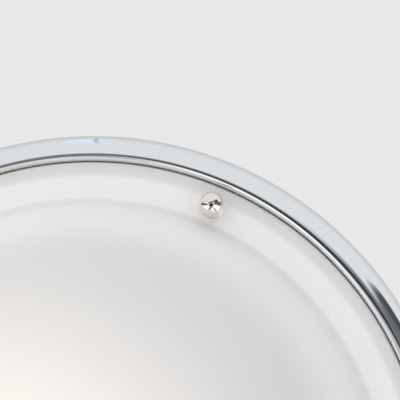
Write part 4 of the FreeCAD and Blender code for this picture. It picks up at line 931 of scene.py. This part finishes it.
class LIGHT_OT_wiring(bpy.types.Operator):
    """Finish the terminal block, the leads, their saddles, the grommet and the gasket"""
    bl_idname = "ceiling_light.wiring"
    bl_label = "Wiring and seals"

    def execute(self, context):
        finish = context.scene.light_finish
        block = plain_finish(
            "nylon_white", finish.block, 0.42, scale=350.0, drift=0.08, depth=0.08, dark=0.93)
        live = plain_finish("lead_brown", finish.live, 0.34, scale=420.0, drift=0.08, depth=0.08)
        neutral = plain_finish("lead_blue", finish.neutral, 0.34, scale=420.0, drift=0.08, depth=0.08)
        rubber = plain_finish(
            "rubber_black", finish.rubber, 0.62, scale=500.0, drift=0.12, depth=0.25, dark=0.8)
        paint(block, "terminal_block", "lead_clips")
        paint(bpy.data.materials["cap_brass"], "terminal_inserts")
        for lamp in LAMPS:
            paint(live, f"lead_live_{lamp}")
            paint(neutral, f"lead_neutral_{lamp}")
        paint(self.striped(finish), "earth_lead")
        paint(rubber, "cable_grommet")
        paint(self.foam(finish), "seat_gasket")
        return {"FINISHED"}

    def striped(self, finish):
        """Green insulation with a yellow stripe along it, at half of the lead's height."""
        material, tree, shader, place = start_material("lead_green", finish.earth, 0.34)
        add_grain(tree, shader, place, 0.34, scale=420.0, drift=0.08, depth=0.08)
        height = placed(tree, axis_group, {"Vector": place})["Height"]
        half_width, edge = 0.7 * MM, 0.05 * MM
        off = calc(tree, "ABSOLUTE", calc(tree, "SUBTRACT", height, middle("earth_lead").z))
        stripe = ease(tree, off, half_width + edge, half_width - edge)
        tree.links.new(blend(tree, stripe, rgba(finish.earth), rgba(finish.stripe)), shader["Base Color"])
        return material

    def foam(self, finish):
        """White foam with fine cells, with painted shade in their pits."""
        material, tree, shader, place = start_material("foam_white", finish.foam, 0.9)
        cells = node(tree, "ShaderNodeTexVoronoi", {"Vector": place, "Scale": 1400.0}).outputs["Distance"]
        # The pits of the cells are painted darker, as painted shade.
        wall = ease(tree, cells, 0.1, 0.5)
        tree.links.new(blend(tree, wall, rgba(finish.foam_pit_shade), rgba(finish.foam)), shader["Base Color"])
        bump = node(tree, "ShaderNodeBump", {"Strength": 0.5, "Distance": BUMP_HEIGHT, "Height": cells})
        tree.links.new(bump.outputs[0], shader["Normal"])
        return material


# The studio

# The soft light's colours on the left and the right, and how much of it is left on the far side and below.
LEFT_LIGHT = (1.66, 1.59, 1.52)
RIGHT_LIGHT = (0.80, 0.86, 0.91)
FAR_SHARE = 0.86
BELOW_SHARE = 0.74

# What polished metal shows where it reflects no card.
ROOM = (0.82, 0.82, 0.82)
SLATE = (0.17, 0.20, 0.24)

# The cards, of which a later one hides an earlier one. Each has the middle of its angle, clockwise from the
# top of the picture, its half width, how far it leans for a reach of 1, where it starts and ends as a reach
# from the view's own direction (1 is straight behind the light), the soft edges of its angle and reach, and
# its colour.
CARDS = {
    "lower half": (180, 92, 0, 0.0, 1.2, 8.0, 0.04, (0.74, 0.71, 0.69)),
    "behind": (0, 180, 0, 0.88, 1.2, 1.0, 0.08, (0.62, 0.64, 0.66)),
    "left box": (-118, 26, 0, 0.21, 0.75, 7.0, 0.05, (1.3, 1.28, 1.27)),
    "middle box": (162, 13, 0, 0.20, 0.86, 5.0, 0.05, (1.3, 1.3, 1.3)),
    "right box": (115, 20, 0, 0.21, 0.95, 6.0, 0.05, (1.3, 1.3, 1.32)),
    "left streak": (-153, 6, 0, 0.12, 0.45, 5.0, 0.08, (0.10, 0.13, 0.12)),
    "right streak": (142, 5, 0, 0.12, 0.90, 5.0, 0.08, (0.16, 0.15, 0.15)),
    "surround": (0, 180, 0, -1.0, 0.16, 1.0, 0.02, SLATE),
    "upper surround": (-14, 48, 0, 0.183, 0.278, 5.0, 0.02, SLATE),
    "upper right surround": (24, 12, 0, 0.183, 0.325, 6.0, 0.03, SLATE),
    "lower left surround": (-167, 22, 0, -1.0, 0.29, 8.0, 0.03, SLATE),
    "dark edge": (-5, 24, 0, 0.183, 0.242, 5.0, 0.015, (0.035, 0.03, 0.025)),
    "left arm": (-83, 9, 0, 0.27, 0.92, 5.0, 0.03, (0.10, 0.09, 0.09)),
    "right arm": (79, 7, 0, 0.14, 0.55, 5.0, 0.04, (0.12, 0.10, 0.10)),
    "right panel": (37, 26, 55, 0.28, 0.61, 2.0, 0.02, (0.15, 0.155, 0.165)),
    "right panel's edge": (37, 26, 55, 0.44, 0.61, 2.0, 0.02, (0.085, 0.085, 0.09)),
    "right panel's end": (84, 13, 0, 0.50, 0.97, 4.0, 0.06, (0.16, 0.14, 0.14)),
    "dark middle": (0, 180, 0, -1.0, 0.11, 1.0, 0.03, (0.02, 0.018, 0.015)),
    "blue strip": (-14.8, 2.9, 10.6, 0.70, 0.85, 1.2, 0.03, (0.78, 0.90, 1.05)),
    "bar on the strip": (-13.5, 0.22, 10.6, 0.70, 0.90, 0.3, 0.02, (0.33, 0.40, 0.48)),
}


def soft_light(tree, sky):
    """The light that matt pieces get: strongest from the left, and weaker from the far side and below."""
    ways = node(tree, "ShaderNodeSeparateXYZ", {"Vector": sky}).outputs
    to_right = calc(tree, "MULTIPLY_ADD", ways["X"], 0.5, 0.5)
    to_far = calc(tree, "MULTIPLY_ADD", ways["Y"], -0.5, 0.5)
    below = calc(tree, "MAXIMUM", calc(tree, "MULTIPLY", ways["Z"], -1.0), 0.0)
    soft = blend(tree, to_right, rgba(LEFT_LIGHT), rgba(RIGHT_LIGHT))
    for towards, share in ((to_far, FAR_SHARE), (below, BELOW_SHARE)):
        dimmed = blend(tree, 1.0, soft, rgba([share] * 3), "MULTIPLY")
        soft = blend(tree, towards, soft, dimmed)
    return soft


def card_room(tree, sky, view):
    """The cards round the camera, which polished metal shows. View is the way from the light to the camera.

    A direction becomes the point of a mirror ball that shows it to the camera.
    """
    right = Vector((1.0, 0.0, 0.0))
    right = (right - view * right.dot(view)).normalized()
    up = right.cross(view)
    # The far side of the light, towards -Y, is at the top of the picture.
    if up.y > 0:
        up = -up
    half = vector_calc(tree, "NORMALIZE", vector_calc(tree, "ADD", sky, tuple(view)).outputs[0]).outputs[0]
    across = vector_calc(tree, "DOT_PRODUCT", half, tuple(right)).outputs["Value"]
    along = vector_calc(tree, "DOT_PRODUCT", half, tuple(up)).outputs["Value"]
    angle = calc(tree, "MULTIPLY", calc(tree, "ARCTAN2", across, along), math.degrees(1.0))
    away = hypotenuse(tree, across, along)
    colour = rgba(ROOM)
    for centre, width, lean, near, far, angle_edge, reach_edge, tone in CARDS.values():
        mask = placed(tree, card_group, {
            "Angle": angle, "Reach": away, "Middle": centre, "Half": width, "Lean": lean, "Near": near,
            "Far": far, "Angle edge": angle_edge, "Reach edge": reach_edge})["Mask"]
        colour = blend(tree, mask, colour, rgba(tone))
    return colour


def paint_world(backdrop, view):
    """A plain backdrop for the camera, the cards for reflections, and the soft light for everything else."""
    world = bpy.data.worlds.new("studio")
    world.use_nodes = True
    tree = world.node_tree
    tree.nodes.clear()
    sky = node(tree, "ShaderNodeTexCoord").outputs["Generated"]
    ray = node(tree, "ShaderNodeLightPath").outputs
    # A reflection that is seen by way of a matt surface shows the soft light too.
    direct = calc(tree, "LESS_THAN", ray["Diffuse Depth"], 0.5)
    shown = calc(tree, "MULTIPLY", ray["Is Glossy Ray"], direct)
    colour = blend(tree, shown, soft_light(tree, sky), card_room(tree, sky, view))
    colour = blend(tree, ray["Is Camera Ray"], colour, rgba(backdrop))
    shader = node(tree, "ShaderNodeBackground", {"Color": colour})
    node(tree, "ShaderNodeOutputWorld", {"Surface": shader.outputs[0]})
    bpy.context.scene.world = world


class LIGHT_OT_studio(bpy.types.Operator):
    """Make the backdrop, the floor and the camera"""
    bl_idname = "ceiling_light.studio"
    bl_label = "Studio"

    def execute(self, context):
        studio = context.scene.light_studio
        place = Vector((studio.camera_x, studio.camera_y, -studio.camera_drop))
        aim = Vector((studio.aim_x, studio.aim_y, -studio.aim_drop))
        paint_world(studio.backdrop, (place - middle("finial_1")).normalized())
        self.make_floor(studio.floor_drop, studio.floor)
        self.make_camera(place, aim, studio.lens)
        context.scene.view_settings.view_transform = "Standard"
        return {"FINISHED"}

    def make_floor(self, drop, colour):
        """A pale floor far below, which polished metal doesn't show."""
        half_width = 7.0
        made = bmesh.new()
        bmesh.ops.create_grid(made, x_segments=1, y_segments=1, size=half_width)
        bmesh.ops.translate(made, verts=made.verts, vec=(0, 0, -drop))
        mesh = bpy.data.meshes.new("floor")
        made.to_mesh(mesh)
        made.free()
        floor = bpy.data.objects.new("floor", mesh)
        bpy.context.scene.collection.objects.link(floor)
        matt = plain_finish("floor_paint", colour, 0.8, scale=40.0, drift=0.05, depth=0.02, dark=0.97)
        paint(matt, "floor")
        floor.visible_glossy = False

    def make_camera(self, place, aim, lens):
        """A camera below the light that looks up, with the far side at the top of the picture."""
        data = bpy.data.cameras.new("camera")
        data.lens = lens
        data.clip_start = 0.05
        data.clip_end = 50.0
        camera = bpy.data.objects.new("camera", data)
        bpy.context.scene.collection.objects.link(camera)
        ahead = (aim - place).normalized()
        side = ahead.cross(Vector((0, -1, 0))).normalized()
        turn = Matrix((side, side.cross(ahead), -ahead)).transposed()
        camera.matrix_world = Matrix.Translation(place) @ turn.to_4x4()
        bpy.context.scene.camera = camera


class LIGHT_PT_panel(bpy.types.Panel):
    """The settings and the operators."""
    bl_label = "Ceiling Light"
    bl_space_type = "VIEW_3D"
    bl_region_type = "UI"
    bl_category = "Ceiling Light"

    def draw(self, context):
        scene = context.scene
        for settings in (scene.light_sizes, scene.light_finish, scene.light_studio):
            for name in settings.__annotations__:
                self.layout.prop(settings, name)
        for operator in OPERATORS:
            self.layout.operator(operator.bl_idname)


OPERATORS = (
    LIGHT_OT_studio, LIGHT_OT_pan, LIGHT_OT_shade, LIGHT_OT_knobs, LIGHT_OT_studs, LIGHT_OT_bulbs,
    LIGHT_OT_lampholders, LIGHT_OT_screws, LIGHT_OT_wiring)
CLASSES = (SizeSettings, FinishSettings, StudioSettings, *OPERATORS, LIGHT_PT_panel)


def register():
    """Register the settings, the operators and the panel."""
    for cls in CLASSES:
        bpy.utils.register_class(cls)
    bpy.types.Scene.light_sizes = bpy.props.PointerProperty(type=SizeSettings)
    bpy.types.Scene.light_finish = bpy.props.PointerProperty(type=FinishSettings)
    bpy.types.Scene.light_studio = bpy.props.PointerProperty(type=StudioSettings)


def unregister():
    """Take them away again."""
    del bpy.types.Scene.light_studio
    del bpy.types.Scene.light_finish
    del bpy.types.Scene.light_sizes
    for cls in reversed(CLASSES):
        bpy.utils.unregister_class(cls)


def main():
    """Build the studio and the light."""
    register()
    bpy.ops.ceiling_light.studio()
    bpy.ops.ceiling_light.pan()
    bpy.ops.ceiling_light.shade()
    bpy.ops.ceiling_light.knobs()
    bpy.ops.ceiling_light.studs()
    bpy.ops.ceiling_light.bulbs()
    bpy.ops.ceiling_light.lampholders()
    bpy.ops.ceiling_light.screws()
    bpy.ops.ceiling_light.wiring()


if __name__ == "__main__":
    main()
